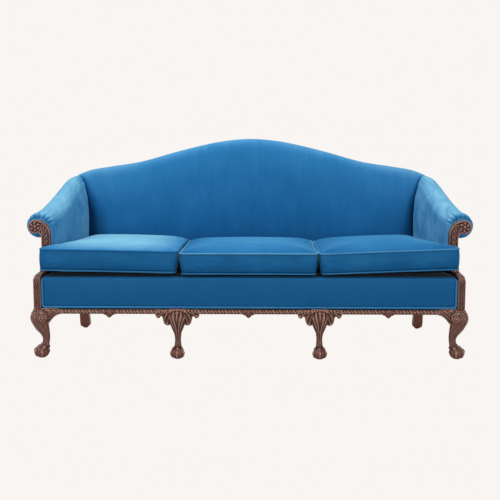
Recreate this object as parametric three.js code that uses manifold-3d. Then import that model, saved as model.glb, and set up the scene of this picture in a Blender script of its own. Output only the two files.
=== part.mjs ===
// Camelback sofa on carved cabriole legs: frame, springs, upholstery and three loose cushions.
// Millimetres, +X right in the front view, the front toward -Y, the floor at height 0.
import * as THREE from "three";
import { mergeVertices } from "three/addons/utils/BufferGeometryUtils.js";
import Module from "manifold-3d";

const wasm = await Module();
wasm.setup();

// Driving sizes of the whole sofa
const legHeight = 221;
const frameHalfWidth = 954.5;
const seatFrameTop = 362;
const seatDepth = 580;
const crestHeight = 981;
const shoulderDrop = 185;

// Clearances
const gap = 0.3;
const overrun = 60;

// The back leans: seatDepth is measured at leanHeight, and grows with height by this share
const leanHeight = 470;
const leanShare = 0.155;

// Back upholstery and back frame, measured back from the inside back's face
const backInset = 61.5;
const backHalfWidth = frameHalfWidth - backInset;
const backPadThick = 45;
const backFrameDepth = 40;
const backThick = 100;
const outsideSkin = 6;
const topWrap = 28;
const backBulge = 12;
const rollDepth = 100;
const topRailHeight = 60;
const lowerBackRailRise = 38;
const lowerBackRailHeight = 45;
const uprightWidth = 45;
const uprightPlace = 300;

// Seat frame
const railThick = 25;
const railRise = 11;
const railBottom = legHeight + railRise;
const frontRailDrop = 17;
const frontRailTop = seatFrameTop - frontRailDrop;
const frontRailFace = 27;
const sideSkin = 6;
const sideInset = 9.5;
const sideFrontHalfWidth = frameHalfWidth - sideInset;
const braceWidth = 30;
const braceRise = 8;
const braceBottom = railBottom + braceRise;
const braceHeight = 60;
const glueBlockSide = 70;
const glueBlockDrop = 25;
const tenonLength = 18;
const tenonThick = 12;
const tenonMargin = 22;

// Corner blocks
const blockWidth = 33;
const blockFront = -7;
const blockBack = 60;
const blockBevel = 4;
const blockInner = frameHalfWidth - blockWidth;

// Front panel, moulding and pendants
const panelGap = 1.5;
const panelHalfWidth = blockInner - panelGap;
const panelFront = -2;
const panelRise = 4;
const panelBottom = legHeight + panelRise;
const panelTop = seatFrameTop + panelRise;
const panelCorner = 9;
const mouldingDrop = 20;
const mouldingFront = -8;
const mouldingCorner = 5;
const mouldingLap = 23;
const pendantWidth = 44;
const pendantDrop = 36;
const pendantThick = 9;
const pendantPlace = 617;

// Legs
const middleLegPlace = 315;
const kneeHalf = 40.5;
const cornerLegInset = 22.5;
const cornerLegDepth = 20;
const cornerLegAxis = [frameHalfWidth - cornerLegInset, cornerLegDepth];
const cornerLegLean = 26;
const cornerLegPush = 14;
const middleKneeHalf = 32;
const middleLegDepth = 19;
const middleLegPush = 26;
const legTenonHalf = 10;
const legTenonHeight = 45;
const legPadHalf = 30;
const rearLegHalf = 23;
const rearLegDepth = 40;
const rearLegRake = 92;
const rearFootPlace = seatDepth + rearLegRake;
const rearFootBevel = 15;
const rearGlideHalf = 7;
const postInset = 5;
const postOuter = backHalfWidth - postInset;

// Knee brackets
const bracketThick = 24;
const bracketFront = -14;
const cornerBracketLength = 60;
const cornerBracketDrop = 66;
const middleBracketLength = 70;
const middleBracketDrop = 63.5;
const middleBracketStart = 27;
const bracketHold = 0.8;

// Arms: the roll runs from its front centre to its back centre
const armFront = 125;
const facingThick = 25;
const armInsetFront = 56.5;
const armInsetBack = 73;
const armInnerFront = frameHalfWidth - armInsetFront;
const armInnerBack = backHalfWidth - armInsetBack;
const rollFrontRadius = 56;
const rollBackRadius = 60;
const rollFrontRise = 221;
const rollFrontHeight = seatFrameTop + rollFrontRise;
const rollBackDrop = 58;
const rollBackHeight = crestHeight - shoulderDrop - rollBackDrop;
const rollEdge = 5;
const rollEdgeDepth = 15;
const padRise = 14;
const padBottom = seatFrameTop + padRise;
const armRailThick = 26;
const armRailHeight = 42;
const armRailDrop = 5;
const lowerArmRailRise = 22;
const lowerArmRailBottom = seatFrameTop + lowerArmRailRise;
const lowerArmRailHeight = 30;

// Arm post: scroll, neck and foot
const scrollRadius = 31;
const scrollOut = 13.5;
const scrollDrop = 4;
const scrollCentre = [frameHalfWidth + scrollOut, rollFrontHeight - scrollDrop];
const neckInset = 54.5;
const neckWidth = 42;
const neckInner = frameHalfWidth - neckInset;
const neckOuter = neckInner + neckWidth;
const neckDrop = 34;
const neckShoulder = scrollCentre[1] - neckDrop;
const footHeight = 38;
const footFront = -5;

// Springs and deck
const wireRadius = 1.7;
const springWidth = 50;
const springRuns = 3;
const springBends = 12;
const springMargin = 25;
const springInset = 45;
const springEndMargin = 12;
const deckMargin = 8;
const dustCoverThick = 1.6;
const dustCoverMargin = 15;

// Cushions
const cushionRise = 11.5;
const cushionRestHeight = seatFrameTop + cushionRise;
const cushionSplit = 310;
const cushionGap = 3;
const cushionFront = -8;
const cushionInset = 28.5;
const cushionOuter = frameHalfWidth - cushionInset;
const earDepth = 100;
const earWidth = 32;
const cushionSideGap = 4;
const cushionBackGap = 6;
const weltRise = 14.5;
const weltBottom = cushionRestHeight + weltRise;
const boxingHeight = 88;
const crownHeight = 30;
const cushionCorner = 18;
const cushionDraw = 5;
const earFadeShare = 0.55;
const earLeastShare = 0.12;
const earStepShare = 0.1;

// Finishes
const velvet = { color: 0x1e66a4, roughness: 0.85, metalness: 0 };
const mahogany = { color: 0x5e3d34, roughness: 0.4, metalness: 0 };
const hardwood = { color: 0xa98457, roughness: 0.7, metalness: 0 };
const decking = { color: 0x1b3f66, roughness: 0.95, metalness: 0 };
const cambric = { color: 0x202124, roughness: 0.95, metalness: 0 };
const steel = { color: 0x8a8d90, roughness: 0.4, metalness: 1 };

const sofa = new THREE.Group();
const mix = THREE.MathUtils.lerp;

// Depth of a point that lies a given distance behind the inside back's face at a height
const behind = (distance, height) => seatDepth + leanShare * (height - leanHeight) + distance;

// Half-width to the outside arm's face, and to the inside arm's face, at a depth
const sideBackHalfWidth = backHalfWidth + gap + sideSkin;
const sideEnd = behind(backThick, rollBackHeight);
const sideSlope = (sideFrontHalfWidth - sideBackHalfWidth) / (sideEnd - armFront);
const outerFace = (y) => sideFrontHalfWidth - sideSlope * (y - armFront);
const innerSlope = (armInnerFront - armInnerBack) / (seatDepth - armFront);
const innerFace = (y) => armInnerFront - innerSlope * (y - armFront);
const railOuter = (y) => outerFace(y) - sideSkin - gap;
const railInner = (y) => railOuter(y) - railThick;

// The arm frame's bars run in a little, to meet the back post inside its outer face
const armRailEnd = behind(0, lowerArmRailBottom);
const armRailSlope = (railOuter(armFront) - postOuter) / (armRailEnd - armFront);
const armRailOuter = (y) => railOuter(armFront) - armRailSlope * (y - armFront);

// A smooth value through rows of [place, value], level at the first row
function through(rows, place) {
  const last = rows.length - 1;
  const slope = (i) => {
    if (i === 0) return 0;
    const a = rows[i - 1];
    const b = rows[Math.min(i + 1, last)];
    return (b[1] - a[1]) / (b[0] - a[0]);
  };
  let i = 0;
  while (i < last - 1 && place > rows[i + 1][0]) i += 1;
  const step = rows[i + 1][0] - rows[i][0];
  const t = (place - rows[i][0]) / step;
  const h = t * t * (3 - 2 * t);
  const lead = t * (1 - t) * (1 - t) * slope(i) - t * t * (1 - t) * slope(i + 1);
  return mix(rows[i][1], rows[i + 1][1], h) + lead * step;
}

// The camel-shaped crest: [share of the half-width, share of the drop to the shoulder]
const crestShares = [
  [0, 0], [0.176, 0.076], [0.402, 0.321], [0.633, 0.627], [0.8, 0.755], [0.922, 0.859], [1, 1],
];
function crest(x) {
  const share = Math.min(Math.abs(x) / backHalfWidth, 1);
  return crestHeight - shoulderDrop * through(crestShares, share);
}

// A closed solid through rings with as many points each; flat picks the two axes of its ends
function loft(rings, flat) {
  const count = rings[0].length;
  const index = [];
  for (let i = 0; i + 1 < rings.length; i += 1) {
    for (let j = 0; j < count; j += 1) {
      const a = i * count + j;
      const b = i * count + (j + 1) % count;
      index.push(a, b, b + count, a, b + count, a + count);
    }
  }
  const ends = [[rings[0], 0, true], [rings.at(-1), count * (rings.length - 1), false]];
  for (const [ring, start, first] of ends) {
    const contour = ring.map((p) => new THREE.Vector2(p[flat[0]], p[flat[1]]));
    const turned = THREE.ShapeUtils.area(contour) < 0;
    for (const [a, b, c] of THREE.ShapeUtils.triangulateShape(contour, [])) {
      if (turned !== first) index.push(start + a, start + c, start + b);
      else index.push(start + a, start + b, start + c);
    }
  }
  const geometry = new THREE.BufferGeometry();
  geometry.setAttribute("position", new THREE.Float32BufferAttribute(rings.flat(2), 3));
  geometry.setIndex(index);
  return volume(geometry) < 0 ? flipped(geometry) : geometry;
}

function volume(geometry) {
  const at = geometry.attributes.position;
  const index = geometry.index;
  const corner = [0, 1, 2].map(() => new THREE.Vector3());
  let sum = 0;
  for (let i = 0; i < index.count; i += 3) {
    corner.forEach((point, k) => point.fromBufferAttribute(at, index.getX(i + k)));
    sum += corner[0].dot(corner[1].clone().cross(corner[2]));
  }
  return sum;
}

function flipped(geometry) {
  const index = geometry.index.array;
  for (let i = 0; i < index.length; i += 3) {
    [index[i], index[i + 1]] = [index[i + 1], index[i]];
  }
  return geometry;
}

// The same piece for the other side of the sofa
function mirrored(geometry) {
  const copy = bare(geometry).clone();
  copy.scale(-1, 1, 1);
  return flipped(copy);
}

function bare(geometry) {
  const copy = geometry.clone();
  copy.deleteAttribute("normal");
  copy.deleteAttribute("uv");
  return mergeVertices(copy);
}

function box(low, high) {
  const size = high.map((value, i) => value - low[i]);
  const geometry = new THREE.BoxGeometry(...size);
  return geometry.translate(...low.map((value, i) => value + size[i] / 2));
}

// An outline of [across, up] pairs in the front view, run from one depth to another
function frontPrism(outline, near, far) {
  return loft([near, far].map((y) => outline.map(([x, z]) => [x, y, z])), [0, 2]);
}

// An outline of [depth, up] pairs in the side view, run across the sofa
function sideProfile(outline, left, right) {
  return loft([left, right].map((x) => outline.map(([y, z]) => [x, y, z])), [1, 2]);
}

// An outline of [across, depth] pairs seen from above, run upward
function plan(outline, low, high) {
  return loft([low, high].map((z) => outline.map(([x, y]) => [x, y, z])), [0, 1]);
}

function solid(geometry) {
  const clean = bare(geometry);
  const vertProperties = new Float32Array(clean.attributes.position.array);
  const triVerts = new Uint32Array(clean.index.array);
  return new wasm.Manifold(new wasm.Mesh({ numProp: 3, vertProperties, triVerts }));
}

function geometryOf(manifold) {
  const mesh = manifold.getMesh();
  const geometry = new THREE.BufferGeometry();
  const position = new THREE.BufferAttribute(new Float32Array(mesh.vertProperties), 3);
  geometry.setAttribute("position", position);
  geometry.setIndex(new THREE.BufferAttribute(new Uint32Array(mesh.triVerts), 1));
  return geometry;
}

const joined = (...parts) => geometryOf(parts.map(solid).reduce((a, b) => a.add(b)));
const cut = (base, ...tools) => {
  const left = tools.map(solid).reduce((a, b) => a.subtract(b), solid(base));
  return geometryOf(left);
};

function add(name, geometry, finish) {
  const mesh = new THREE.Mesh(bare(geometry), new THREE.MeshStandardMaterial(finish));
  mesh.name = name;
  sofa.add(mesh);
}

// A piece made for the right side, and its mirror for the left
function addPair(name, geometry, finish) {
  add(`${name}_right`, geometry, finish);
  add(`${name}_left`, mirrored(geometry), finish);
}

// A tongue between two corners, and the slot for it, larger by the clearance
const grown = (low, high) => box(low.map((v) => v - gap), high.map((v) => v + gap));

// Seat frame: rails with a tenon at each end
const frontRailEnd = blockInner - gap;
const frontTenon = [
  [frontRailEnd - tenonLength, frontRailFace + tenonThick / 2, railBottom + tenonMargin],
  [frontRailEnd + tenonLength, frontRailFace + railThick - tenonThick / 2, frontRailTop - tenonMargin],
];
const mirrorBox = ([low, high]) => [[-high[0], low[1], low[2]], [-low[0], high[1], high[2]]];

function middleLegTenon(side) {
  const middle = frontRailFace + railThick / 2;
  const half = tenonThick / 2;
  const low = railBottom - gap - half;
  return [
    [side * middleLegPlace - legTenonHalf, middle - half, low],
    [side * middleLegPlace + legTenonHalf, middle + half, railBottom + legTenonHeight],
  ];
}

function frontRail() {
  const back = frontRailFace + railThick;
  const bar = box([-frontRailEnd, frontRailFace, railBottom], [frontRailEnd, back, frontRailTop]);
  const beam = joined(bar, box(...frontTenon), box(...mirrorBox(frontTenon)));
  return cut(beam, ...[-1, 1].map((side) => grown(...middleLegTenon(side))));
}

// Raked bar across the back frame between two heights
function backBar(low, high, halfLength) {
  const near = backPadThick + gap;
  const far = near + backFrameDepth - gap;
  const outline = [
    [behind(near, low), low], [behind(far, low), low],
    [behind(far, high), high], [behind(near, high), high],
  ];
  return sideProfile(outline, -halfLength, halfLength);
}

// Tenons of the back frame's bars reach into the posts at the middle of their depth
const postInner = postOuter - 2 * rearLegHalf;
const backBarEnd = postInner - gap;
function backTongue(low, high, clearance) {
  const near = backPadThick + (backFrameDepth - tenonThick) / 2 - clearance;
  const far = near + tenonThick + 2 * clearance;
  const bottom = low - clearance;
  const top = high + clearance;
  const outline = [
    [behind(near, bottom), bottom], [behind(far, bottom), bottom],
    [behind(far, top), top], [behind(near, top), top],
  ];
  return sideProfile(outline, backBarEnd - tenonLength, backBarEnd + tenonLength + clearance);
}

// A bar of the back frame with a tongue at each end
function tongued(bar, low, high) {
  const tongue = backTongue(low, high, 0);
  return joined(bar, tongue, mirrored(tongue));
}

const rearRailTenon = [railBottom + tenonMargin, frontRailTop - tenonMargin];
const lowerBackRailBottom = seatFrameTop + lowerBackRailRise;
const lowerBackRailTop = lowerBackRailBottom + lowerBackRailHeight;
const lowerTenon = [lowerBackRailBottom + tenonThick, lowerBackRailTop - tenonThick];
const topRailEndTop = crest(backBarEnd) - topWrap - gap;
const topTenon = [topRailEndTop - topRailHeight + tenonThick, topRailEndTop - tenonThick];

const rearRail = () => tongued(backBar(railBottom, frontRailTop, backBarEnd), ...rearRailTenon);

function lowerBackRail() {
  const bar = backBar(lowerBackRailBottom, lowerBackRailTop, backBarEnd);
  return tongued(bar, ...lowerTenon);
}

// Stations across the back, alike for each piece that follows the crest
const crestSteps = 24;
function stations(half) {
  const grid = Array.from({ length: crestSteps + 1 }, (_, i) => mix(-1, 1, i / crestSteps));
  const places = [...grid.map((share) => share * backHalfWidth), -backBarEnd, backBarEnd];
  const inside = places.filter((place) => Math.abs(place) < half - gap);
  return [-half, ...inside.sort((a, b) => a - b), half];
}

function topRail() {
  const near = backPadThick + gap;
  const far = near + backFrameDepth - gap;
  const rings = stations(backBarEnd).map((x) => {
    const high = crest(x) - topWrap - gap;
    const low = high - topRailHeight;
    return [[near, low], [far, low], [far, high], [near, high]]
      .map(([d, z]) => [x, behind(d, z), z]);
  });
  return tongued(loft(rings, [1, 2]), ...topTenon);
}

// Rear leg and back post in one raked piece
const rearLegShares = [[0.93, 0.89], [0.4, 0.95], [0.1, 1.04]];
function rearPost() {
  const post = (z) => [behind(backPadThick + gap, z), behind(backPadThick + backFrameDepth, z)];
  const axis = postOuter - rearLegHalf;
  const ring = (z, half, near, far) => [
    [axis - half, near, z], [axis + half, near, z], [axis + half, far, z], [axis - half, far, z],
  ];
  const footMiddle = rearFootPlace;
  const top = crest(postOuter) - topWrap - gap;
  const postMiddle = (post(panelBottom)[0] + post(panelBottom)[1]) / 2;
  const leg = rearLegShares.map(([heightShare, widthShare]) => {
    const z = mix(rearFootBevel, panelBottom, heightShare);
    const middle = mix(footMiddle, postMiddle, z / panelBottom);
    const half = rearLegDepth / 2 * widthShare;
    return ring(z, rearLegHalf * widthShare, middle - half, middle + half);
  });
  const bevelMiddle = mix(footMiddle, postMiddle, rearFootBevel / panelBottom);
  const half = rearLegDepth / 2;
  const rings = [
    ring(0, rearGlideHalf, footMiddle - rearGlideHalf, footMiddle + rearGlideHalf),
    ring(rearFootBevel, rearLegHalf, bevelMiddle - half, bevelMiddle + half),
    ...leg.reverse(),
    ring(panelBottom, rearLegHalf, ...post(panelBottom)),
    ring(seatFrameTop, rearLegHalf, ...post(seatFrameTop)),
    ring(top, rearLegHalf, ...post(top)),
  ];
  const slots = [rearRailTenon, lowerTenon, topTenon].map((pair) => backTongue(...pair, gap));
  return cut(loft(rings, [0, 1]), ...slots);
}

function upright(side) {
  const place = side * uprightPlace;
  const half = uprightWidth / 2;
  const near = backPadThick + gap;
  const far = near + backFrameDepth - gap;
  const low = lowerBackRailTop + gap;
  const rings = [place - half, place + half].map((x) => {
    const high = crest(x) - topWrap - topRailHeight - 2 * gap;
    return [[near, low], [far, low], [far, high], [near, high]]
      .map(([d, z]) => [x, behind(d, z), z]);
  });
  return loft(rings, [1, 2]);
}

// Side rail on the slanting side, from the corner block to the back post
function sideRail() {
  const start = blockBack + gap;
  const end = (z) => behind(backPadThick, z);
  const ring = (y) => [[railInner, railBottom], [railOuter, railBottom],
    [railOuter, seatFrameTop], [railInner, seatFrameTop]].map(([edge, z]) => [edge(y(z)), y(z), z]);
  return loft([ring(() => start), ring(end)], [0, 2]);
}

function seatBrace(side) {
  const half = braceWidth / 2;
  const near = frontRailFace + railThick + gap;
  const top = braceBottom + braceHeight;
  const place = side * cushionSplit;
  const outline = [
    [near, braceBottom], [behind(backPadThick, braceBottom), braceBottom],
    [behind(backPadThick, top), top], [near, top],
  ];
  return sideProfile(outline, place - half, place + half);
}

// Three-cornered blocks glued inside the frame's corners
const glueBlockTop = frontRailTop - glueBlockDrop;
function frontGlueBlock() {
  const near = Math.max(blockBack, frontRailFace + railThick) + gap;
  const edge = (y) => railInner(y) - gap;
  const inner = blockInner - gap;
  const start = frontRailFace + railThick + gap;
  const outline = [
    [inner - glueBlockSide, start], [Math.min(inner, edge(near)), start],
    [edge(near), near], [edge(near + glueBlockSide), near + glueBlockSide],
  ];
  return plan(outline, braceBottom, glueBlockTop);
}

function rearGlueBlock() {
  const edge = (y) => railInner(y) - gap;
  const far = (z) => behind(backPadThick, z);
  const rings = [braceBottom, glueBlockTop].map((z) => {
    const wall = Math.min(edge(far(z)), postInner - gap);
    const near = far(z) - glueBlockSide;
    const outline = [[wall, far(z)], [wall - glueBlockSide, far(z)], [edge(near), near],
      [edge(far(z)), far(z) - rearLegHalf]];
    return outline.map(([x, y]) => [x, y, z]);
  });
  return loft(rings, [0, 1]);
}

// Corner block above each front leg, with slots for the leg and the front rail
const cornerTenon = [
  [cornerLegAxis[0] - legTenonHalf / 2, cornerLegAxis[1] - legTenonHalf, legHeight - tenonThick],
  [cornerLegAxis[0] + legTenonHalf, cornerLegAxis[1] + legTenonHalf, legHeight + legTenonHeight],
];

function cornerBlock() {
  const bevel = (inset) => [
    [blockInner + inset, blockFront + inset], [frameHalfWidth - inset, blockFront + inset],
    [frameHalfWidth - inset, blockBack], [blockInner + inset, blockBack],
  ];
  const levels = [[blockBevel, legHeight + gap], [0, legHeight + gap + blockBevel],
    [0, seatFrameTop - blockBevel], [blockBevel, seatFrameTop]];
  const rings = levels.map(([inset, z]) => bevel(inset).map(([x, y]) => [x, y, z]));
  return cut(loft(rings, [0, 1]), grown(...cornerTenon), grown(...frontTenon));
}

// Cabriole leg: [height share, lean share, push share, width share] from the floor up
const cabrioleShares = [
  [0, 0.3, 1.15, 0.42], [0.06, 0.3, 1.15, 0.74], [0.127, 0.31, 1.15, 0.85],
  [0.2, 0.48, 1, 0.7], [0.27, 0.81, 0.6, 0.43], [0.35, 1, 0.35, 0.366],
  [0.452, 0.92, 0.4, 0.445], [0.593, 0.46, 0.7, 0.69], [0.738, 0.12, 1, 0.865],
  [0.842, 0.12, 1, 1], [0.932, 0.04, 0.55, 0.852], [1, 0, 0, 0.6],
];
const legSides = 12;

// A ring between a circle and a square, as a whittled leg has
function legRing(x, y, z, half) {
  const squareness = 0.75;
  return Array.from({ length: legSides }, (_, i) => {
    const angle = (2 * Math.PI * i) / legSides;
    const soft = (v) => Math.sign(v) * Math.abs(v) ** squareness;
    return [x + half * soft(Math.cos(angle)), y + half * soft(Math.sin(angle)), z];
  });
}

function cabriole(axis, lean, push, half, widthShares) {
  const rings = cabrioleShares.map(([height, leanBy, pushBy, width], i) => {
    const z = height * legHeight;
    const wide = half * (widthShares ? widthShares[i] : width);
    return legRing(axis[0] - lean * leanBy, axis[1] - push * pushBy, z, wide);
  });
  return loft(rings, [0, 1]);
}

const cornerLeg = () => joined(
  cabriole(cornerLegAxis, cornerLegLean, cornerLegPush, kneeHalf),
  box(...cornerTenon),
);

const middleWidthShares = [0.45, 0.82, 0.97, 0.8, 0.45, 0.4, 0.45, 0.62, 0.88, 1, 0.95, 0.8];
function middleLeg(side) {
  const place = side * middleLegPlace;
  const leg = cabriole([place, middleLegDepth], 0, middleLegPush, middleKneeHalf, middleWidthShares);
  const back = frontRailFace + railThick;
  const pad = box([place - legPadHalf, frontRailFace + gap, legHeight - tenonThick],
    [place + legPadHalf, back, railBottom - gap]);
  return joined(leg, pad, box(...middleLegTenon(side)));
}

// Knee brackets: [share of the length, share of the drop] under a straight top
const cornerBracketShares = [[1, 0], [1, 0.33], [0.75, 0.42], [0.5, 0.5], [0.2, 0.77], [0, 1]];
const middleBracketShares = [
  [1, 0], [1, 0.17], [0.93, 0.42], [0.8, 0.53], [0.68, 0.5], [0.57, 0.47],
  [0.5, 0.75], [0.37, 0.97], [0.25, 1], [0.12, 0.95], [0, 0.7],
];
const bracketOutline = (shares, start, length, drop, way) => [
  ...shares.map(([along, down]) => [start + way * length * along, legHeight - gap - drop * down]),
  [start, legHeight - gap],
];

// The brackets lie in front of the moulding above its foot, and fill its depth below it
const mouldingZone = () => box(
  [-frameHalfWidth, mouldingFront - gap, legHeight - mouldingDrop - gap],
  [frameHalfWidth, frontRailFace, legHeight + overrun],
);

function frontBracket(shares, start, length, drop, way) {
  const outline = bracketOutline(shares, start, length, drop, way);
  return cut(frontPrism(outline, bracketFront, bracketFront + bracketThick), mouldingZone());
}

const cornerLegEnvelope = () => cabriole(cornerLegAxis, cornerLegLean, cornerLegPush, kneeHalf + gap);

function cornerBracket() {
  const start = cornerLegAxis[0];
  const length = cornerBracketLength + kneeHalf;
  const reach = (along) => (kneeHalf + cornerBracketLength * along) / length;
  const shares = cornerBracketShares.map(([along, down]) => [reach(along), down]);
  const body = frontBracket(shares, start, length, cornerBracketDrop, -1);
  const near = start - kneeHalf * bracketHold;
  const keep = box([near, bracketFront - gap, 0], [frameHalfWidth + overrun, overrun, legHeight]);
  return cut(body, cornerLegEnvelope(), keep);
}

function sideBracket() {
  const start = cornerLegAxis[1] + kneeHalf * bracketHold - cornerLegPush;
  const outline = bracketOutline(cornerBracketShares, start, cornerBracketLength, cornerBracketDrop, 1);
  const near = cornerLegAxis[0] - bracketThick / 2;
  return cut(sideProfile(outline, near, near + bracketThick), cornerLegEnvelope());
}

function middleBracket(side, way) {
  const start = side * middleLegPlace + way * middleBracketStart;
  const body = frontBracket(middleBracketShares, start, middleBracketLength, middleBracketDrop, way);
  return cut(body, middleLegEnvelope(side * middleLegPlace));
}

function middleLegEnvelope(place) {
  const axis = [place, middleLegDepth];
  return cabriole(axis, 0, middleLegPush, middleKneeHalf + gap, middleWidthShares);
}

// Rope moulding under the front panel, lapped behind it up to the rail
function moulding(left, right, lapLeft, lapRight) {
  const top = legHeight;
  const low = top - mouldingDrop;
  const lap = frontRailFace + gap;
  const back = lap + mouldingLap;
  const high = railBottom - gap;
  const soft = mouldingCorner;
  const outline = [
    [mouldingFront + soft, low], [back, low], [back, high], [lap, high], [lap, top],
    [mouldingFront + soft, top], [mouldingFront, top - soft], [mouldingFront, low + soft],
  ];
  const strip = box([lapLeft, lap, top + gap], [lapRight, back, high]);
  return joined(sideProfile(outline, left, right), strip);
}

// Leaf pendant: [half-width share, share of the drop]
const pendantShares = [[1, 0.12], [1, 0.36], [0.62, 0.5], [0.5, 0.74], [0, 1]];
function pendant(place) {
  const half = pendantWidth / 2;
  const side = (way) => pendantShares.map(([across, down]) => (
    [place + way * half * across, legHeight - pendantDrop * down]));
  const right = side(1);
  const left = side(-1).slice(0, -1);
  const face = mouldingFront - gap;
  return frontPrism([...right, ...left.reverse()], face - pendantThick, face);
}

// Padded front panel with soft edges
function frontPanel() {
  const near = panelFront;
  const far = frontRailFace - gap;
  const soft = panelCorner;
  const outline = (inset) => [
    [near + soft + inset, panelBottom + inset], [far, panelBottom + inset], [far, panelTop - inset],
    [near + soft + inset, panelTop - inset], [near + inset, panelTop - soft - inset],
    [near + inset, panelBottom + soft + inset],
  ];
  const ends = [[-panelHalfWidth, soft / 2], [-panelHalfWidth + soft, 0], [panelHalfWidth - soft, 0],
    [panelHalfWidth, soft / 2]];
  return loft(ends.map(([x, inset]) => outline(inset).map(([y, z]) => [x, y, z])), [1, 2]);
}

// The arm's stations, as shares of its length, with one close behind its front edge
const armSteps = 8;
const armShares = Array.from({ length: armSteps + 1 }, (_, i) => i / armSteps);
armShares.splice(1, 0, rollEdgeDepth / (seatDepth - armFront));

// Section of the right arm at a share of its length
const rollPoints = 12;
const armRiseShares = [[0, 0], [0.25, 0.14], [0.5, 0.4], [0.75, 0.73], [0.9, 0.93], [1, 1]];
function armSection(share) {
  const reference = mix(armFront, seatDepth, share);
  const radius = mix(rollFrontRadius, rollBackRadius, share);
  const inner = innerFace(reference);
  const centre = [inner + radius, mix(rollFrontHeight, rollBackHeight, through(armRiseShares, share))];
  const outer = outerFace(reference);
  const turn = Math.acos((outer - centre[0]) / radius);
  const neck = centre[1] - radius * Math.sin(turn);
  return { reference, inner, outer, centre, radius, turn, neck, railTop: centre[1] - armRailDrop };
}

// A point of a section lies deeper the higher it is, as the back leans, and moves in with it
const armDepth = (share, z) => mix(armFront + gap, behind(-gap, z), share);
function armPoint(share, x, z, outward, past) {
  const y = armDepth(share, z) + past;
  const slope = mix(innerSlope, sideSlope, outward);
  return [x - slope * (y - armSection(share).reference), y, z];
}

// The space of the back upholstery, which only the outer half of the roll passes
function backSpace() {
  const outline = [[-gap, -overrun], [backThick + overrun, -overrun],
    [backThick + overrun, crestHeight], [-gap, crestHeight]];
  return sideProfile(outline.map(([d, z]) => [behind(d, z), z]), 0, backHalfWidth + gap);
}

// Inside arm with its roll, which runs on beside the back to the outside back
function armPad() {
  const ring = (share, shrink, past = 0) => {
    const s = armSection(share);
    const arc = Array.from({ length: rollPoints + 1 }, (_, i) => {
      const angle = mix(Math.PI, -s.turn, i / rollPoints);
      const radius = s.radius - shrink;
      const x = s.centre[0] + radius * Math.cos(angle);
      return armPoint(share, x, s.centre[1] + radius * Math.sin(angle), i / rollPoints, past);
    });
    const skinFace = (y) => outerFace(y) - sideSkin;
    const barFace = (y) => armRailOuter(y) - armRailThick - gap;
    const hollow = [
      [skinFace, s.neck + shrink], [skinFace, s.railTop + gap],
      [barFace, s.railTop + gap], [barFace, padBottom],
    ].map(([face, z]) => [face(armDepth(share, z) + past), armDepth(share, z) + past, z]);
    return [armPoint(share, s.inner + shrink, padBottom, 0, past), ...arc, ...hollow];
  };
  const rings = armShares.map((share) => ring(share, share ? 0 : rollEdge));
  return cut(loft([...rings, ring(1, 0, gap + backThick)], [0, 2]), backSpace());
}

// Bar of the arm frame from the post's back to the back post, between two heights at each share
function armBar(levels, clearance) {
  const ring = (share, depth) => {
    const [low, high] = levels(share);
    const corners = [[-armRailThick, low, -1], [0, low, -1], [0, high, 1], [-armRailThick, high, 1]];
    return corners.map(([across, z, way]) => {
      const y = depth(z);
      return [armRailOuter(y) + across + clearance * (across ? -1 : 1), y, z + way * clearance];
    });
  };
  const rings = armShares.map((share) => ring(share, (z) => armDepth(share, z)));
  rings.push(ring(1, (z) => behind(backPadThick + clearance, z)));
  return loft(rings, [0, 2]);
}

const armRail = (clearance = 0) => armBar((share) => {
  const top = armSection(share).railTop;
  return [top - armRailHeight, top];
}, clearance);
const lowerArmRail = (clearance = 0) => armBar(
  () => [lowerArmRailBottom, lowerArmRailBottom + lowerArmRailHeight],
  clearance,
);

// Outside arm: a thin skin from under the roll to the bottom of the frame
function outsideArm() {
  const top = armShares.map((share) => {
    const z = armSection(share).neck - gap;
    return [armDepth(share, z), z];
  });
  const low = panelBottom;
  const high = top.at(-1)[1];
  const outline = [
    [blockBack + gap, low], [behind(backThick, low), low], [behind(backThick, high), high],
    ...top.reverse(), [armFront + gap, seatFrameTop + gap], [blockBack + gap, seatFrameTop + gap],
  ];
  const faces = [-sideSkin, 0].map((side) => outline.map(([y, z]) => [outerFace(y) + side, y, z]));
  return loft(faces, [1, 2]);
}

// Arm post: the scroll board, in the front view; its curl ends at a share of a half turn
const curlShare = 0.85;
function scrollOutline() {
  const arcSteps = 6;
  const crook = Array.from({ length: arcSteps + 1 }, (_, i) => {
    const angle = mix(Math.PI, Math.PI / 2, i / arcSteps);
    const wide = scrollCentre[0] - neckInner;
    const tall = scrollRadius + scrollCentre[1] - neckShoulder;
    return [scrollCentre[0] + wide * Math.cos(angle), neckShoulder + tall * Math.sin(angle)];
  });
  const curl = Array.from({ length: 2 * arcSteps }, (_, i) => {
    const angle = mix(Math.PI / 2, -Math.PI * curlShare, (i + 1) / (2 * arcSteps));
    const reach = [Math.cos(angle), Math.sin(angle)];
    return scrollCentre.map((middle, k) => middle + scrollRadius * reach[k]);
  });
  const low = seatFrameTop + footHeight - gap;
  return [[neckOuter, low], [neckInner, low], ...crook, ...curl];
}

// The foot's levels: [height share, front share, inward share] between the block and the neck
const postFootShares = [
  [0, 0, 0], [0.14, 0.19, 0.02], [0.28, 0.52, 0.12], [0.4, 0.9, 0.35], [0.63, 0.98, 0.6], [1, 1, 1],
];
function armPost() {
  const back = armFront;
  const board = frontPrism(scrollOutline(), back - facingThick, back);
  const rings = postFootShares.map(([height, forward, inward]) => {
    const z = seatFrameTop + gap + footHeight * height;
    const near = mix(footFront, back - facingThick, forward);
    const slim = [mix(blockInner, neckInner, inward), mix(frameHalfWidth, neckOuter, inward)];
    const deep = [mix(railInner(back), neckInner, inward), mix(railOuter(back), neckOuter, inward)];
    return [[slim[0], near, z], [slim[1], near, z], [deep[1], back, z], [deep[0], back, z]];
  });
  return joined(board, loft(rings, [0, 1]));
}

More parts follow.
